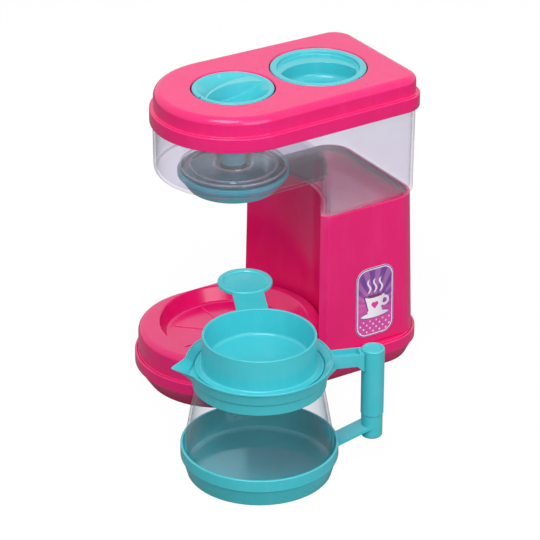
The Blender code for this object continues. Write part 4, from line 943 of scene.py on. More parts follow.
@dataclass(frozen=True)
class Tank:
    """The clear moulding with a shallow front, a deep rear well and the valve's sleeve."""

    top_z: float = 0.2044
    wall: float = 0.0020
    draft: float = 0.0006
    edge_r: float = 0.0040
    well_edge_r: float = 0.0022
    seam: float = 0.0001
    bore_r: float = 0.0112
    lid_gap: float = 0.0029
    nose_out: float = 0.0008
    rib_radii: tuple[float, float] = (0.0294, 0.0360)
    rib_wall: float = 0.0016
    rib_height: float = 0.0012
    sleeve_top: float = 0.2050
    flare: float = 0.0016
    sleeve_foot: float = 0.0020
    seat_in: float = 0.0041
    seat_depth: float = 0.0040
    spigot_depth: float = 0.0042
    port_at: float = 0.0060
    port_r: float = 0.0015

    def outline(self, thickness: float, z: float) -> Oblong:
        """Work out the tank's outline, which narrows downwards.

        Args:
            thickness: How far inside the outer face it lies.
            z: Its height.

        Returns:
            The outline.
        """
        share = (self.top_z - z) / (self.top_z - TANK_WELL_Z)
        outline = LID_OUTLINE.inset(self.lid_gap + thickness + self.draft * share)
        return replace(outline, half_width=outline.half_width + self.nose_out)

    def form(self, name: str, thickness: float, well_z: float, floor_z: float, top_z: float,
             shrink: float) -> bpy.types.Object:
        """The outer or inner form of the tank.

        Args:
            name: Name of the object.
            thickness: How far inside the outer face it lies.
            well_z: Floor of the rear well.
            floor_z: Floor of the shallow front.
            top_z: Its top.
            shrink: How much smaller its edge radii are.

        Returns:
            The shallow front joined to the deep well.
        """
        upper = rounded([Bend(0.012, floor_z), Bend(0, floor_z, self.edge_r - shrink, 10),
                         Bend(0, top_z)])
        front = drawn(name, [self.outline(thickness, z).inset(out).ring(z) for out, z in upper])
        joint_z = floor_z + self.edge_r + OVERRUN
        lower = rounded([Bend(0.012, well_z), Bend(0, well_z, self.well_edge_r - shrink / 2, 7),
                         Bend(0, joint_z)])
        rings = [self.outline(thickness + self.seam, z).inset(out).ring(z) for out, z in lower]
        return joined(front, less(drawn("well", rings), self.bay(thickness)))

    def bay(self, thickness: float) -> bpy.types.Object:
        """Draw the room in front of the well's hollowed wall.

        Args:
            thickness: How far inside the outer face the wall lies.

        Returns:
            The cutting tool.
        """
        plan = COLUMN_TOP.inset(thickness)
        hollow = plan.hollow()
        strip_y = hollow[-1][1] + plan.strip_run
        side = LID_OUTLINE.half_width + OVERRUN
        wide = plan.half_width
        tip = rounded([Bend(*hollow[-2]), Bend(*hollow[-1], plan.tip_r, 4),
                       Bend(wide, strip_y, plan.edge_r / 3, 3), Bend(side, strip_y)])[1:]
        left = [(-x, y) for x, y in reversed(tip)]
        outline = left + hollow[1:-1] + tip + [(side, -side), (-side, -side)]
        return prism("bay", outline, TANK_WELL_Z - OVERRUN, self.top_z)

    def build(self) -> bpy.types.Object:
        """Hollow the tank out and add its sleeve, ribs, ring, spigot and ports.

        Returns:
            The tank.
        """
        tank = less(self.form("tank", 0, TANK_WELL_Z, TANK_FLOOR_Z, self.top_z, 0),
                    self.form("inside", self.wall, TANK_WELL_Z + self.wall,
                              TANK_FLOOR_Z + self.wall, self.top_z + OVERRUN, 0.0012))
        floor = TANK_FLOOR_Z + self.wall
        buried = TANK_FLOOR_Z + self.wall / 2
        foot_r = SLEEVE_R + self.sleeve_foot
        sleeve = turned("sleeve", [
            Bend(self.bore_r, buried), Bend(self.bore_r, self.sleeve_top, 0.0003, 2),
            Bend(SLEEVE_R, self.sleeve_top, 0.0005, 3), Bend(SLEEVE_R, floor, self.flare, 5),
            Bend(foot_r, floor), Bend(foot_r, buried), Bend(self.bore_r, buried)])
        ribs = [self.ring_wall("rib", radius, buried, floor + self.rib_height, 0.0005)
                for radius in self.rib_radii]
        seat = self.ring_wall("seat ring", BASKET_R - self.seat_in, buried,
                              TANK_FLOOR_Z - self.seat_depth, 0.0003)
        outer = COLUMN_TOP.inset(self.wall + 2 * PLAY)
        inner = outer.inset(self.rib_wall)
        low, high = TANK_WELL_Z - self.spigot_depth, TANK_WELL_Z + self.wall / 2
        spigot = drawn("spigot", [outer.ring(low), outer.ring(high), inner.ring(high),
                                  inner.ring(low), outer.ring(low)], capped=False)
        gates = [self.gate_mark((-0.0180, -0.0060), 0.0017, 0.0008, buried, floor + 0.0005, 0.0003),
                 self.gate_mark((0.0365, 0.0850), 0.0019, 0.0009, high, TANK_WELL_Z + 0.0026, 0.0004)]
        tank = joined(tank, sleeve, *ribs, seat, spigot, *gates)
        turns = (0, math.tau / 3, 2 * math.tau / 3)
        ports = [(self.port_at * math.cos(turn), self.port_at * math.sin(turn)) for turn in turns]
        holes = [bar("port", self.port_r, TANK_FLOOR_Z - OVERRUN, floor + OVERRUN, port, 32)
                 for port in ports]
        return less(tank, *holes)

    def is_painted_glint(self, face: bpy.types.MeshPolygon) -> bool:
        """Tell whether a face is on a rib, the sleeve's flare or the front's lower edge.

        Args:
            face: A face of the finished tank.

        Returns:
            True where the painted highlights and dark lines of the clear edges go.
        """
        x, y, z = face.center
        reach = math.hypot(x, y)
        floor = TANK_FLOOR_Z + self.wall
        on_rib = floor + 0.0001 < z < floor + 0.0013 and any(
            -0.0002 < reach - radius < 0.0018 for radius in self.rib_radii)
        on_flare = floor < z < floor + self.flare and SLEEVE_R < reach < SLEEVE_R + 0.0018
        on_fold = TANK_FLOOR_Z + 0.0002 < z < TANK_FLOOR_Z + 0.0014 and y < COLUMN_TOP.rear_y \
            and 0.25 < abs(face.normal.z) < 0.97 and reach > 0.045
        return on_rib or on_flare or on_fold

    def ring_wall(self, name: str, inner_r: float, root: float, free: float,
                  soft: float) -> bpy.types.Object:
        """Turn a plain round wall with a softened free edge.

        Args:
            name: Name of the object.
            inner_r: Its inner radius.
            root: Height of the end buried in the floor.
            free: Height of the free end.
            soft: Radius of the free edge's corners.

        Returns:
            The wall.
        """
        outer_r = inner_r + self.rib_wall
        return turned(name, [Bend(inner_r, root), Bend(inner_r, free, soft, 4),
                             Bend(outer_r, free, soft, 4), Bend(outer_r, root),
                             Bend(inner_r, root)])

    def gate_mark(self, centre: Point, outer_r: float, rim_r: float, root: float, high: float,
                  dip: float) -> bpy.types.Object:
        """Turn the low ring that a mould's gate leaves.

        Args:
            centre: Where it stands.
            outer_r: Its outer radius.
            rim_r: Inner radius of its rim.
            root: Height of the end buried in the floor.
            high: Height of its rim.
            dip: Depth of the dip inside the rim.

        Returns:
            The mark.
        """
        return turned("gate mark", [Bend(0, root), Bend(outer_r, root),
                                    Bend(outer_r, high, 0.0003, 3), Bend(rim_r, high),
                                    Bend(rim_r - 0.0001, high - dip), Bend(0, high - dip)],
                      centre, 48)


@dataclass(frozen=True)
class Column:
    """The pink rear shell with a hollowed front, which carries the tank."""

    wall: float = 0.0020
    pocket: float = 0.0106

    def outline(self, z: float) -> Crescent:
        """Work out the column's outline.

        Args:
            z: Its height.

        Returns:
            The outline.
        """
        share = (z - COLUMN_FOOT_Z) / (COLUMN_RIM_Z - COLUMN_FOOT_Z)
        rear = COLUMN_FOOT.rear_y + (COLUMN_TOP.rear_y - COLUMN_FOOT.rear_y) * share
        return replace(COLUMN_FOOT, half_width=column_half_width(z), rear_y=rear)

    def build(self) -> bpy.types.Object:
        """Draw the shell from the pocket's ceiling down, round its foot and up to its pocket."""
        floor = COLUMN_RIM_Z - self.pocket
        path = rounded([
            Bend(self.wall, floor - self.wall), Bend(self.wall, COLUMN_FOOT_Z),
            Bend(0, COLUMN_FOOT_Z, 0.0003, 2), Bend(0, COLUMN_RIM_Z, 0.0007, 4),
            Bend(self.wall, COLUMN_RIM_Z, 0.0005, 3), Bend(self.wall, floor, 0.0010, 3),
            Bend(self.wall + 0.003, floor)])
        return drawn("column_shell", [self.outline(z).inset(out).ring(z) for out, z in path])


@dataclass(frozen=True)
class Base:
    """The lower pan and the upper cover with its drip tray."""

    band: Oblong = Oblong(0.0602, -0.0124, 0.0602, 0.1325, 0.0357)
    foot: Oblong = Oblong(0.0506, -0.0124, 0.0506, 0.1290, 0.0300)
    band_top: float = 0.0224
    band_bottom: float = 0.0140
    taper_z: float = 0.0124
    taper_in: float = 0.0014
    pan_wall: float = 0.0018
    wall: float = 0.0020
    deck_z: float = 0.0230
    crest_z: float = 0.0410
    crest_r: float = 0.0046
    tray_r: float = 0.0534
    floor_r: float = 0.0482
    floor_z: float = 0.0300
    posts: tuple[Point, ...] = ((0.030, -0.034), (-0.030, -0.034), (0.036, 0.100), (-0.036, 0.100))
    post_r: float = 0.0040
    post_low: float = 0.0063
    buried: float = 0.0010
    tray_flare: float = 0.0035
    raised_draft: float = 0.0006
    spoke_count: int = 8
    spoke_rise: float = 0.0007
    spoke_ends: Point = (0.0100, 0.0440)

    def pan_outline(self, z: float) -> Oblong:
        """Work out the pan's outline: a taper below and an upright band above.

        Args:
            z: Its height.

        Returns:
            The outline.
        """
        shoulder = self.band.inset(self.taper_in)
        if z <= self.taper_z:
            return self.foot.towards(shoulder, z / self.taper_z)
        share = min(1.0, (z - self.taper_z) / (self.band_bottom - self.taper_z))
        return shoulder.towards(self.band, share)

    def pan(self) -> bpy.types.Object:
        """Draw the pan's shell with its screw bosses."""
        wall = self.pan_wall
        path = rounded([
            Bend(wall + 0.008, wall), Bend(wall, wall, 0.0008, 3), Bend(wall, self.taper_z),
            Bend(wall, self.band_bottom), Bend(wall, self.band_top, 0.0003, 2),
            Bend(0, self.band_top, 0.0009, 5), Bend(0, self.band_bottom),
            Bend(0, self.taper_z), Bend(0, 0, 0.0012, 5), Bend(0.008, 0)])
        shell = drawn("base_pan", [self.pan_outline(z).inset(out).ring(z) for out, z in path])
        bosses = [bar("boss", 0.0055, wall / 2, 0.0060, post) for post in self.posts]
        heads = [bar("head room", 0.0037, -OVERRUN, 0.0030, post, 64) for post in self.posts]
        bores = [bar("bore", 0.0017, 0.0010, 0.0080, post) for post in self.posts]
        return less(joined(shell, *bosses), *heads, *bores)

    def tray_space(self, offset: float) -> bpy.types.Object:
        """Turn the tray's hollow.

        Args:
            offset: How much larger it is, for the cover's underside.

        Returns:
            The cutting tool.
        """
        top = self.crest_z + OVERRUN - offset
        low, high = self.floor_z - offset, self.crest_z + HAIR - offset
        tray_r = self.tray_r + offset
        return turned("tray", [
            Bend(0, low), Bend(self.floor_r + offset, low, 0.0028, 7),
            Bend(tray_r, high, 0.0022, 8), Bend(tray_r + self.tray_flare, high),
            Bend(tray_r + self.tray_flare, top), Bend(0, top)])

    def cover(self) -> bpy.types.Object:
        """Join the deck to the raised front and sink the tray with its spokes."""
        plan = self.band.inset(self.pan_wall + PLAY)
        raised_plan = TrayOutline(plan.half_width, plan.front_y, SCOOP_R - PLAY)
        bottom = self.band_bottom + PLAY
        deck = drawn("base_cover", [plan.inset(out).ring(z) for out, z in rounded(
            [Bend(0, bottom), Bend(0, self.deck_z, 0.0008, 4), Bend(0.008, self.deck_z)])])
        raised = drawn("raised", [raised_plan.inset(out).ring(z) for out, z in rounded(
            [Bend(0.0004, bottom + self.wall), Bend(self.raised_draft, self.crest_z, self.crest_r, 12),
             Bend(0.009, self.crest_z)])])
        body = less(joined(deck, raised), self.tray_space(0))
        hollow = drawn("hollow", [plan.inset(self.wall).ring(z)
                                  for z in (bottom - OVERRUN, self.deck_z - self.wall)])
        side_in = self.wall + self.raised_draft
        above = drawn("upper hollow", [raised_plan.inset(out).ring(z) for out, z in (
            (side_in, bottom), (side_in, self.crest_z - self.crest_r),
            (self.wall + self.crest_r, self.crest_z - self.wall))])
        body = less(body, less(joined(hollow, above), self.tray_space(self.wall)))
        tops = (self.floor_z, self.floor_z, self.deck_z, self.deck_z)
        posts = [bar("post", self.post_r, self.post_low, top - self.buried, post)
                 for post, top in zip(self.posts, tops)]
        return joined(body, *posts, *self.spokes())

    def spokes(self) -> list[bpy.types.Object]:
        """Draw the low ribs on the tray's floor, with rounded backs.

        Returns:
            The ribs.
        """
        low, high = self.floor_z - self.buried, self.floor_z + self.spoke_rise
        outline = rounded([Bend(-0.0009, low), Bend(-0.0006, high, 0.0004, 4),
                           Bend(0.0006, high, 0.0004, 4), Bend(0.0009, low)])
        rings = [[Vector((x, y, z)) for y, z in outline] for x in self.spoke_ends]
        turns = [math.tau * number / self.spoke_count for number in range(self.spoke_count)]
        return [moved(drawn("spoke", rings), Matrix.Rotation(turn, 4, "Z")) for turn in turns]


def bar(name: str, radius: float, low: float, high: float, centre: Point,
        steps: int = 48) -> bpy.types.Object:
    """A plain round bar along Z."""
    return turned(name, [Bend(0, low), Bend(radius, low), Bend(radius, high), Bend(0, high)],
                  centre, steps)


@dataclass(frozen=True)
class SideLabel:
    """The printed label on the column's right side."""

    centre_y: float = 0.0840
    centre_z: float = 0.0560
    half_width: float = 0.0160
    half_height: float = 0.0270
    corner_r: float = 0.0090
    thick: float = 0.0003

    def build(self) -> bpy.types.Object:
        """Draw the plate through its thickness with a softened front edge.

        Returns:
            The label.
        """
        rings = []
        for inset, share in ((0, 0), (0, 0.6), (0.0001, 0.9), (0.0003, 1)):
            wide, tall = self.half_width - inset, self.half_height - inset
            lift = PLAY + self.thick * share
            corners = [(wide, -tall), (wide, tall), (-wide, tall), (-wide, -tall)]
            outline = rounded([Bend(0, -tall),
                               *(Bend(*at, self.corner_r - inset, 14) for at in corners),
                               Bend(0, -tall)])[:-1]
            rings.append([Vector((column_half_width(self.centre_z + up) + lift,
                                  self.centre_y + across, self.centre_z + up))
                          for across, up in outline])
        return drawn("side_label", rings)

    def material(self) -> bpy.types.Material:
        """The printed sheet that fits this label."""
        return LabelPrint("label sheet", self.centre_y, self.centre_z, self.half_width,
                          self.half_height, self.corner_r).make()


@dataclass(frozen=True)
class Valve:
    """The front knob and the stem below it."""

    bowl_r: float = 0.0245
    bowl_depth: float = 0.0110
    rim_drop: float = 0.0008
    skirt_wall: float = 0.0018
    bottom_z: float = 0.2087
    hub_r: float = 0.0050
    hub_z: float = 0.1955
    wall: float = 0.0020
    near_r: float = 0.0370
    near_at: Point = (0.0300, 0.0030)
    far_r: float = 0.0560
    far_at: Point = (0.0427, 0.0154)
    notch_angle: float = math.radians(-85.2)
    stem_r: float = 0.0089
    stem_top: float = 0.2052
    pin_r: float = 0.0020
    groove_r: float = 0.0080
    groove_low: float = 0.1977
    groove_top: float = 0.2005

    def bowl_z(self, radius: float) -> float:
        """Height of the hollow at a radius."""
        share = radius / self.bowl_r
        return LID_TOP_Z - self.rim_drop - self.bowl_depth * (1 - share * share)

    def knob(self) -> bpy.types.Object:
        """Turn the hollow disc, set the curved grip across it and cut the pointer notch."""
        top = LID_TOP_Z
        steps = 14
        radii = [self.bowl_r * step / steps for step in range(steps + 1)]
        inner_r = KNOB_R - self.skirt_wall
        section = [Bend(radius, self.bowl_z(radius)) for radius in radii[:-1]]
        section += [Bend(self.bowl_r, self.bowl_z(self.bowl_r), 0.0012, 4),
                    Bend(self.bowl_r + 0.0010, top, 0.0010, 4), Bend(KNOB_R, top, 0.0009, 5),
                    Bend(KNOB_R, self.bottom_z), Bend(inner_r, self.bottom_z),
                    Bend(inner_r, top - self.wall - self.rim_drop)]
        section += [Bend(radius, self.bowl_z(radius) - self.wall) for radius in reversed(radii[4:])]
        section += [Bend(self.hub_r, self.bowl_z(self.hub_r) - self.wall),
                    Bend(self.hub_r, self.hub_z), Bend(0, self.hub_z)]
        disc = turned("front_knob", section)
        fill_r = self.bowl_r + 0.0007
        fill = turned("fill", [Bend(radius, self.bowl_z(radius) - self.wall / 2) for radius in radii]
                      + [Bend(fill_r, top - self.wall), Bend(fill_r, top - self.rim_drop, 0.0004, 3),
                         Bend(0, top - self.rim_drop)])
        near, far = [], []
        for step in range(33):
            y = KNOB_R * (step / 16 - 1)
            near.append((self.near_at[0] - math.sqrt(self.near_r ** 2 - (y - self.near_at[1]) ** 2), y))
            far.append((self.far_at[0] - math.sqrt(self.far_r ** 2 - (y - self.far_at[1]) ** 2), y))
        blade = prism("blade", near + list(reversed(far)), self.hub_z, top)
        notch = prism("notch", [(KNOB_R - 0.0016, -0.0011), (KNOB_R + OVERRUN, -0.0011),
                                (KNOB_R + OVERRUN, 0.0011), (KNOB_R - 0.0016, 0.0011)],
                      top - 0.0034, top + OVERRUN)
        moved(notch, Matrix.Rotation(self.notch_angle, 4, "Z"))
        knob = less(joined(disc, shared(fill, blade)), notch)
        soften(knob, 0.0005, 3, 35)
        return knob

    def stem(self) -> bpy.types.Object:
        """Turn the stem with its seal groove and the socket for the knob's hub.

        Returns:
            The stem.
        """
        low, foot = TANK_FLOOR_Z + 2 * PLAY, TANK_FLOOR_Z + 0.0020 + 2 * PLAY + 0.0015
        socket_r, socket_z = self.hub_r + PLAY, self.hub_z - PLAY
        return turned("valve_stem", [
            Bend(0, low), Bend(self.pin_r, low, 0.0003, 3), Bend(self.pin_r, foot),
            Bend(self.stem_r, foot, 0.0006, 4), Bend(self.stem_r, self.groove_low),
            Bend(self.groove_r, self.groove_low), Bend(self.groove_r, self.groove_top),
            Bend(self.stem_r, self.groove_top), Bend(self.stem_r, self.stem_top, 0.0004, 3),
            Bend(socket_r, self.stem_top), Bend(socket_r, socket_z), Bend(0, socket_z)], steps=96)


@dataclass(frozen=True)
class FillCap:
    """The rear cap with its deep finger pocket."""

    ledge_drop: float = 0.0030
    rim_width: float = 0.0050
    flange: float = 0.0032
    spigot_r: float = 0.0304
    spigot_bottom: float = 0.2070
    wall: float = 0.0020
    pocket_r: float = 0.0292
    pocket_at: Point = (0.0130, -0.0057)
    limit_r: float = 0.0266
    floor_z: float = 0.2045

    def pocket_ring(self, margin: float, z: float) -> list[Vector]:
        """The pocket's outline, the overlap of two circles, grown by a margin."""
        wide, limit = self.pocket_r + margin, self.limit_r + margin
        offset = math.hypot(*self.pocket_at)
        heading = math.atan2(self.pocket_at[1], self.pocket_at[0])
        chord = (offset ** 2 + limit ** 2 - wide ** 2) / (2 * offset)
        near, far = math.acos(chord / limit), math.acos((offset - chord) / wide)
        points = arc(limit, heading - near, heading + near, 40)[:-1]
        points += arc(wide, heading + math.pi - far, heading + math.pi + far, 40, self.pocket_at)[:-1]
        return [Vector((x + CAP_CENTRE[0], y + CAP_CENTRE[1], z)) for x, y in points]

    def build(self) -> bpy.types.Object:
        """Turn the rimmed disc and sink the pocket."""
        top = LID_TOP_Z
        ledge = top - self.ledge_drop
        rim_r = CAP_R - self.rim_width
        inner_r = self.spigot_r - self.wall
        body = turned("fill_cap", [
            Bend(0, ledge), Bend(rim_r, ledge, 0.0009, 5), Bend(rim_r + 0.0003, top, 0.0009, 5),
            Bend(CAP_R, top, 0.0010, 6), Bend(CAP_R, top - self.flange),
            Bend(self.spigot_r, top - self.flange),
            Bend(self.spigot_r, self.spigot_bottom, 0.0005, 3),
            Bend(inner_r, self.spigot_bottom, 0.0005, 3),
            Bend(inner_r, ledge - self.wall), Bend(0, ledge - self.wall)], CAP_CENTRE)
        low = self.floor_z - self.wall
        cup = drawn("cup", [self.pocket_ring(self.wall - inset, z) for inset, z in (
            (0.0012, low), (0.0003, low + 0.0004), (0, low + 0.0012), (0, ledge - self.wall / 2))])
        lip = 0.0005
        past = lip * PAST_BEND
        rise = ledge + HAIR
        path = rounded([Bend(-0.006, self.floor_z), Bend(0, self.floor_z, 0.0050, 9),
                        Bend(0, rise, lip, 4), Bend(past, rise), Bend(past, top + OVERRUN)])
        pocket = drawn("pocket", [self.pocket_ring(out, z) for out, z in path])
        cap = less(joined(body, cup), pocket)
        soften(cap, 0.0003, 2, 50)
        return cap


@dataclass(frozen=True)
class Basket:
    """The tapered teal cup under the tank's floor."""

    bottom_r: float = 0.0315
    bottom_z: float = 0.1465
    flange: float = 0.0022
    wall: float = 0.0020

    def build(self) -> bpy.types.Object:
        """Turn the cup with its rim and outlet."""
        top = TANK_FLOOR_Z - PLAY
        mouth = BASKET_R - self.flange
        seat = TANK_FLOOR_Z - 0.0043
        floor = self.bottom_z + self.wall
        return turned("brew_basket", [
            Bend(mouth, top), Bend(BASKET_R, top, 0.0009, 5), Bend(BASKET_R, seat, 0.0010, 5),
            Bend(BASKET_R - 0.0010, seat, 0.0006, 3), Bend(self.bottom_r, self.bottom_z, 0.0016, 7),
            Bend(0.0030, self.bottom_z, 0.0004, 3), Bend(0.0030, floor),
            Bend(self.bottom_r - self.wall, floor, 0.0012, 4), Bend(mouth - self.wall, seat),
            Bend(mouth, seat), Bend(mouth, top)])


# ---------------------------------------------------------------- carafe


@dataclass(frozen=True)
class Carafe:
    """The clear body, its teal dish, its pouring collar and its handle."""

    glass_r: float = 0.0507
    shoulder_z: float = 0.0214
    slope: float = 0.174
    glass_top: float = 0.0770
    base_r: float = 0.0445
    glass_wall: float = 0.0018
    dish_r: float = 0.0533
    dish_top: float = 0.0216
    dish_step: float = 0.0130
    dish_foot_r: float = 0.0488
    dish_floor: float = 0.0022
    dish_lip: float = 0.0017
    collar_bottom: float = 0.0660
    collar_top: float = 0.0840
    collar_step: float = 0.0740
    rim_r: float = 0.0492
    lip_r: float = 0.0386
    tube_at: float = 0.0779
    tube_r: float = 0.0082
    tube_top: float = 0.0838
    tube_joint: float = 0.0344
    tube_bottom: float = 0.0166
    tube_wall: float = 0.0018
    seat_r: float = 0.0436
    spout_tip: float = math.radians(1.0)
    spout_half: float = math.radians(17)
    spout_out: float = 0.0118
    rim_wall: float = 0.0013
    bridge_top: float = 0.0820
    bridge_low: float = 0.0734
    bridge_half: float = 0.0055
    groove_half: float = 0.0039

    def cone_r(self, z: float) -> float:
        """Outer radius of the clear cone at a height."""
        return self.glass_r - self.slope * (z - self.shoulder_z)

    def foot_r(self, z: float) -> float:
        """Radius that the clear body and its dish share low down."""
        share = math.sqrt(max(0.0, 1 - (1 - z / self.shoulder_z) ** 3))
        return self.base_r + (self.glass_r - self.base_r) * share

    def foot_heights(self) -> list[float]:
        """The heights of that foot's section."""
        low = self.dish_floor + PLAY
        return [low + (self.shoulder_z - low) * share for share in (0.08, 0.18, 0.3, 0.45, 0.62, 0.8)]

    def handle_frame(self, part: bpy.types.Object) -> bpy.types.Object:
        """Turn a piece made along +X so that it points along the handle."""
        place = Matrix.Translation((*CARAFE_CENTRE, 0)) @ Matrix.Rotation(HANDLE_ANGLE, 4, "Z")
        return moved(part, place)

    def glass(self) -> bpy.types.Object:
        """Turn the clear body: a rounded foot, a cone and a plain neck."""
        low = self.dish_floor + PLAY
        heights = self.foot_heights()
        wall = self.glass_wall
        outer = [Bend(self.base_r, low)] + [Bend(self.foot_r(z), z) for z in heights]
        outer += [Bend(self.glass_r, self.shoulder_z, 0.0060, 5),
                  Bend(self.cone_r(self.glass_top), self.glass_top, 0.0006, 3)]
        inner = [Bend(self.cone_r(self.glass_top) - wall, self.glass_top, 0.0006, 3),
                 Bend(self.glass_r - wall, self.shoulder_z, 0.0050, 5)]
        inner += [Bend(self.foot_r(z) - wall, z) for z in reversed(heights[2:])]
        inner += [Bend(self.base_r - wall / 2, low + wall, 0.0012, 3), Bend(0, low + wall)]
        return turned("carafe_glass", [Bend(0, low)] + outer + inner, CARAFE_CENTRE)

    def base(self) -> bpy.types.Object:
        """Turn the dish and add the strap, the lower tube and the spigot of the handle."""
        gap = self.dish_r - self.dish_lip - self.glass_r
        foot_r = self.dish_foot_r
        inside = [Bend(self.foot_r(z) + gap, z) for z in reversed(self.foot_heights())]
        dish = turned("carafe_base", [
            Bend(0, 0.0008), Bend(foot_r - 0.0060, 0.0008), Bend(foot_r - 0.0052, 0),
            Bend(foot_r, 0, 0.0014, 5), Bend(self.dish_r - 0.0012, self.dish_step - 0.0010, 0.0012, 5),
            Bend(self.dish_r, self.dish_step, 0.0009, 4), Bend(self.dish_r, self.dish_top, 0.0008, 4),
            Bend(self.glass_r + gap, self.dish_top, 0.0004, 3), *inside,
            Bend(self.base_r + gap, self.dish_floor), Bend(0, self.dish_floor)], CARAFE_CENTRE)
        start = self.dish_r - self.dish_lip / 2
        lower_r = self.tube_r - 0.0009
        end = self.tube_at - 0.0009
        end_z = 0.0172 + 0.435 * (end - start)
        strap = side_prism("strap", [(start, 0.0146), (end, end_z - 0.0026), (end, end_z),
                                     (start, 0.0172)], 0.0075)
        tube = turned("tube", [
            Bend(0, self.tube_bottom), Bend(lower_r, self.tube_bottom, 0.0018, 7),
            Bend(lower_r, self.tube_joint - PLAY, 0.0003, 2), Bend(0.0061, self.tube_joint - PLAY),
            Bend(0.0061, self.tube_joint + 0.0220, 0.0005, 3), Bend(0, self.tube_joint + 0.0220)],
            (self.tube_at, 0), 96)
        base = joined(dish, joined(self.handle_frame(tube), self.handle_frame(strap)))
        soften(base, 0.0004, 3, 50)
        return base

    def spout_reach(self, angle: float, z: float) -> float:
        """Work out how far the spout draws the collar out.

        Args:
            angle: Direction from the carafe's axis.
            z: Height.

        Returns:
            The distance, 0 beside the spout.
        """
        turn = math.hypot((angle - SPOUT_ANGLE + math.pi) % math.tau - math.pi, self.spout_tip)
        width = max(0.0, 1 - turn / self.spout_half)
        rise = max(0.0, (z - self.collar_step) / (self.collar_top - self.collar_step))
        return self.spout_out * width ** 1.5 * rise ** 1.4

    def collar(self) -> bpy.types.Object:
        """Turn the collar, pull its spout out and add the bridge and upper tube."""
        lip = self.glass_top + PLAY
        foot_r = self.cone_r(self.collar_bottom) + PLAY
        step_r = foot_r + 0.0022
        rim_r, rim_z, step_z = self.rim_r, self.collar_top, self.collar_step
        wall_r = rim_r - self.rim_wall
        collar = turned("carafe_collar", [
            Bend(wall_r, rim_z - 0.0010, 0.0006, 3), Bend(rim_r - 0.0008, rim_z, 0.0005, 4),
            Bend(rim_r, rim_z, 0.0005, 4), Bend(rim_r, rim_z - 0.0014, 0.0004, 3),
            Bend(rim_r - 0.0011, rim_z - 0.0022, 0.0006, 3),
            Bend(step_r + 0.0012, step_z + 0.0008, 0.0012, 4),
            Bend(step_r, step_z - 0.0004, 0.0010, 4),
            Bend(step_r - 0.0007, self.collar_bottom, 0.0006, 3),
            Bend(foot_r, self.collar_bottom, 0.0004, 2), Bend(self.cone_r(lip) + PLAY, lip),
            Bend(self.lip_r, lip, 0.0003, 2), Bend(self.lip_r, lip + 0.0012, 0.0003, 2),
            Bend(self.seat_r, lip + 0.0012), Bend(self.seat_r, lip + 0.0027, 0.0010, 3),
            Bend(wall_r, rim_z - 0.0010)], CARAFE_CENTRE, 240, SPOUT_ANGLE)
        for vert in collar.data.vertices:
            x, y = vert.co.x - CARAFE_CENTRE[0], vert.co.y - CARAFE_CENTRE[1]
            angle = math.atan2(y, x)
            reach = self.spout_reach(angle, vert.co.z)
            vert.co.x += reach * math.cos(angle)
            vert.co.y += reach * math.sin(angle)
        inner_r = self.tube_r - self.tube_wall
        upper_r = self.tube_r - 0.0004
        top = self.tube_top
        tube = turned("tube", [
            Bend(0, top - 0.0006), Bend(0.0055, top - 0.0006, 0.0002, 2), Bend(0.0057, top, 0.0002, 2),
            Bend(upper_r, top, 0.0009, 6), Bend(upper_r, self.tube_joint, 0.0004, 3),
            Bend(inner_r, self.tube_joint), Bend(inner_r, top - self.tube_wall),
            Bend(0, top - self.tube_wall)], (self.tube_at, 0), 96)
        end = self.tube_at - inner_r - self.tube_wall / 2
        corner_z = 0.0694
        outline = rounded([
            Bend(step_r - 0.0007, 0.0664), Bend(0.0515, self.bridge_low, 0.0016, 4),
            Bend(0.0660, self.bridge_low, 0.0022, 5), Bend(0.0700, corner_z, 0.0022, 5),
            Bend(end, corner_z), Bend(end, self.bridge_top), Bend(wall_r, self.bridge_top),
            Bend(step_r, step_z)])
        near, far, half = rim_r + 0.0016, self.tube_at - 0.0098, self.groove_half
        groove = prism("groove", [(near, -half), (far, -half), (far, half), (near, half)],
                       0.0790, 0.0840)
        bridge = less(side_prism("bridge", outline, self.bridge_half), groove)
        collar = joined(collar, joined(self.handle_frame(tube), self.handle_frame(bridge)))
        soften(collar, 0.0004, 3, 50)
        return collar


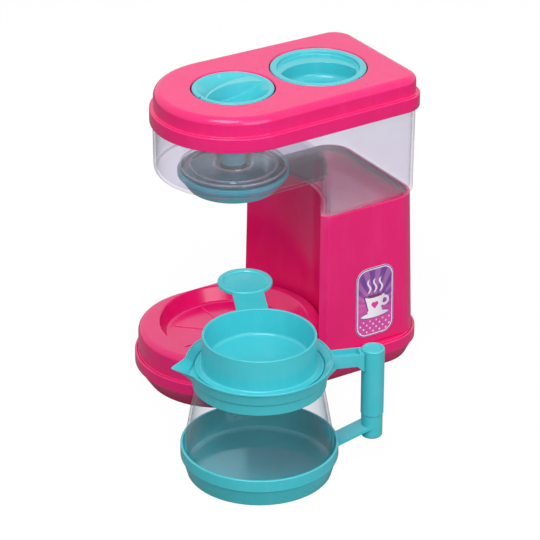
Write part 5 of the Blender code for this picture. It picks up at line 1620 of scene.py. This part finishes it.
@dataclass(frozen=True)
class FilterCup:
    """The loose cup in the carafe's collar, with its lifting tab."""

    rim_r: float = 0.0381
    foot_r: float = 0.0387
    top_z: float = 0.1025
    floor_z: float = 0.0840
    wall: float = 0.0017
    flange_r: float = 0.0430
    plug_r: float = 0.0380
    tab_angle: float = math.radians(155)
    tab_half: float = 0.01075
    tab_reach: float = 0.0800
    tab_z: float = 0.1008
    disc_r: float = 0.0189

    def build(self) -> bpy.types.Object:
        """Turn the cup and set the tab with its disc on its rim."""
        flange = 0.0788
        inner_r = self.rim_r - self.wall
        cup = turned("filter_cup", [
            Bend(0, self.floor_z), Bend(inner_r - 0.0022, self.floor_z, 0.0026, 6),
            Bend(inner_r, self.top_z, 0.0006, 4),
            Bend(self.rim_r, self.top_z, 0.0005, 4), Bend(self.foot_r, flange + 0.0015, 0.0012, 4),
            Bend(self.flange_r, flange + 0.0015, 0.0005, 3), Bend(self.flange_r, flange),
            Bend(self.plug_r, flange), Bend(self.plug_r, 0.0720, 0.0005, 3),
            Bend(self.plug_r - self.wall, 0.0720), Bend(self.plug_r - self.wall, self.floor_z - 0.0018),
            Bend(0, self.floor_z - 0.0018)], CARAFE_CENTRE)
        root_r = self.rim_r - self.wall / 2
        half = math.asin(self.tab_half / root_r)
        root = [(root_r * math.cos(angle), root_r * math.sin(angle))
                for angle in (half, half / 2, 0, -half / 2, -half)]
        end = self.tab_reach - math.sqrt(self.disc_r ** 2 - self.tab_half ** 2) + PLAY
        strap = prism("strap", [(end, -self.tab_half), (end, self.tab_half)] + root, -0.0009, 0.0009)
        top = 0.0015
        disc = turned("disc", [
            Bend(0, top - 0.0011), Bend(0.0142, top - 0.0011, 0.0005, 4), Bend(0.0150, top, 0.0005, 4),
            Bend(self.disc_r, top, 0.0011, 5), Bend(self.disc_r, -top, 0.0007, 4), Bend(0, -top)],
            (self.tab_reach, 0))
        place = Matrix.Translation((*CARAFE_CENTRE, self.tab_z)) @ Matrix.Rotation(self.tab_angle, 4, "Z")
        cup = joined(cup, joined(moved(disc, place), moved(strap, place)))
        soften(cup, 0.0004, 3, 50)
        return cup


# ---------------------------------------------------------------- studio


@dataclass(frozen=True)
class Lamp:
    """A soft area lamp."""

    name: str
    place: tuple[float, float, float]
    aim: tuple[float, float, float]
    size: float
    power: float

    def hang(self) -> bpy.types.Object:
        """Put the lamp in the scene."""
        data = bpy.data.lights.new(self.name, "AREA")
        data.shape = "SQUARE"
        data.size = self.size
        data.energy = self.power
        lamp = bpy.data.objects.new(self.name, data)
        lamp.location = self.place
        lamp.rotation_euler = (Vector(self.aim) - Vector(self.place)).to_track_quat("-Z", "Y").to_euler()
        bpy.context.scene.collection.objects.link(lamp)
        return lamp


@dataclass(frozen=True)
class Studio:
    """Pale floor, soft light and the camera."""

    lens: float = 192.97
    sensor: float = 36.0
    far_clip: float = 20.0
    camera_at: tuple[float, float, float] = (1.5557, -0.9557, 1.0037)
    camera_aim: tuple[float, float, float] = (0.0001, 0.0303, 0.0717)
    roll: float = math.radians(0.12)
    horizon: float = 0.46
    zenith: float = 0.74
    floor_half: float = 4.0
    glow: float = 1.08
    glow_share: float = 0.90
    lamps: tuple[Lamp, ...] = (
        Lamp("key", (0.55, -0.55, 1.25), (0.03, 0.03, 0.10), 0.7, 9.5),
        Lamp("side", (1.25, 0.00, 0.60), (0.05, 0.03, 0.08), 0.8, 5.6))

    def floor(self) -> bpy.types.Object:
        """Lay the pale floor, which keeps a faint shadow.

        Returns:
            The floor.
        """
        mesh = bmesh.new()
        bmesh.ops.create_grid(mesh, x_segments=1, y_segments=1, size=self.floor_half)
        floor = solid("floor", mesh)
        shader = Shader("pale floor")
        clouds = shader.noise(shader.place(), 3, 2, 0.5)
        matte = shader.node("ShaderNodeBsdfDiffuse", None,
                            {"Color": shader.mix(clouds * 0.3, (0.30, 0.30, 0.30), (0.28, 0.28, 0.29))})
        glow = shader.node("ShaderNodeEmission", None, {"Color": WHITE, "Strength": self.glow})
        seen = shader.node("ShaderNodeLightPath", output="Is Camera Ray")
        floor.data.materials.append(shader.done(shader.blend(seen * self.glow_share, matte, glow)))
        return floor

    def world(self) -> None:
        """White to the camera and in reflections, softer as light."""
        world = bpy.data.worlds.new("soft white room")
        bpy.context.scene.world = world
        world.use_nodes = True
        tree = world.node_tree
        tree.nodes.clear()
        rays = tree.nodes.new("ShaderNodeLightPath")
        seen = rays.outputs["Is Camera Ray"]
        for kind in ("Is Transmission Ray", "Is Glossy Ray"):
            either = tree.nodes.new("ShaderNodeMath")
            either.operation = "MAXIMUM"
            tree.links.new(seen, either.inputs[0])
            tree.links.new(rays.outputs[kind], either.inputs[1])
            seen = either.outputs[0]
        way = tree.nodes.new("ShaderNodeTexCoord")
        parts = tree.nodes.new("ShaderNodeSeparateXYZ")
        tree.links.new(way.outputs["Generated"], parts.inputs[0])
        dome = tree.nodes.new("ShaderNodeMapRange")
        dome.inputs["To Min"].default_value = self.horizon
        dome.inputs["To Max"].default_value = self.zenith
        tree.links.new(parts.outputs["Z"], dome.inputs["Value"])
        strength = tree.nodes.new("ShaderNodeMapRange")
        strength.inputs["To Max"].default_value = 1.0
        tree.links.new(seen, strength.inputs["Value"])
        tree.links.new(dome.outputs["Result"], strength.inputs["To Min"])
        light = tree.nodes.new("ShaderNodeBackground")
        light.inputs["Color"].default_value = WHITE
        tree.links.new(strength.outputs["Result"], light.inputs["Strength"])
        output = tree.nodes.new("ShaderNodeOutputWorld")
        tree.links.new(light.outputs[0], output.inputs["Surface"])

    def camera(self) -> bpy.types.Object:
        """Set the camera at the photograph's viewing angle."""
        data = bpy.data.cameras.new("camera")
        data.lens = self.lens
        data.sensor_width = self.sensor
        data.clip_end = self.far_clip
        camera = bpy.data.objects.new("camera", data)
        aim = Vector(self.camera_aim) - Vector(self.camera_at)
        turn = aim.to_track_quat("-Z", "Y").to_matrix().to_4x4() @ Matrix.Rotation(self.roll, 4, "Z")
        camera.matrix_world = Matrix.Translation(self.camera_at) @ turn
        bpy.context.scene.collection.objects.link(camera)
        bpy.context.scene.camera = camera
        return camera

    def build(self) -> None:
        """Set the whole stage."""
        self.floor()
        self.world()
        self.camera()
        for lamp in self.lamps:
            lamp.hang()
        bpy.context.scene.view_settings.view_transform = "Standard"


def keep_nodes(finishes: Finishes) -> None:
    """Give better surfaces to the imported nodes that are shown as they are."""
    wanted = {"base_screw_": finishes.steel, "column_screw_": finishes.steel,
              "stem_seal": finishes.rubber, "valve_disc": finishes.rubber}
    for name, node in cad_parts.items():
        for start, finish in wanted.items():
            if name.startswith(start):
                for slot in node.material_slots:
                    slot.material = finish
                LOG.info("%s: kept with a better surface", name)


def build_machine(finishes: Finishes) -> None:
    """Build and dress the machine with its valve and fill cap."""
    base = Base()
    label = SideLabel()
    valve = Valve()
    dress(base.pan(), finishes.pink, Body.MACHINE, Slot.PINK, "base_pan")
    dress(base.cover(), finishes.pink, Body.MACHINE, Slot.PINK, "base_cover")
    dress(Column().build(), finishes.pink, Body.MACHINE, Slot.PINK, "column_shell")
    dress(label.build(), label.material(), Body.MACHINE, Slot.PRINT, "side_label")
    tank = Tank()
    clear = dress(tank.build(), finishes.tank, Body.MACHINE, Slot.CLEAR, "tank")
    # Paint highlights and dark lines on the ribs, the sleeve's flare and the front's lower fold.
    retouch(clear, finishes.edge, tank.is_painted_glint)
    dress(Basket().build(), finishes.teal, Body.MACHINE, Slot.TEAL, "brew_basket")
    dress(Lid().build(), finishes.pink, Body.MACHINE, Slot.PINK, "lid")
    dress(valve.knob(), finishes.teal, Body.VALVE, Slot.TEAL, "front_knob")
    dress(valve.stem(), finishes.teal, Body.VALVE, Slot.TEAL, "valve_stem")
    dress(FillCap().build(), finishes.teal, Body.CAP, Slot.TEAL, "fill_cap")


def build_carafe(finishes: Finishes) -> None:
    """Build and dress the carafe and its filter cup."""
    carafe = Carafe()
    dress(carafe.base(), finishes.teal, Body.CARAFE, Slot.TEAL, "carafe_base")
    dress(carafe.glass(), finishes.glass, Body.CARAFE, Slot.CLEAR, "carafe_glass")
    dress(carafe.collar(), finishes.teal, Body.CARAFE, Slot.TEAL, "carafe_collar")
    dress(FilterCup().build(), finishes.teal, Body.FILTER, Slot.TEAL, "filter_cup")


def main() -> None:
    """Build the toy, dress it and set the stage."""
    logging.basicConfig(level=logging.INFO, format="%(name)s: %(message)s")
    finishes = Finishes()
    build_machine(finishes)
    build_carafe(finishes)
    keep_nodes(finishes)
    Studio().build()


if __name__ == "__main__":
    main()
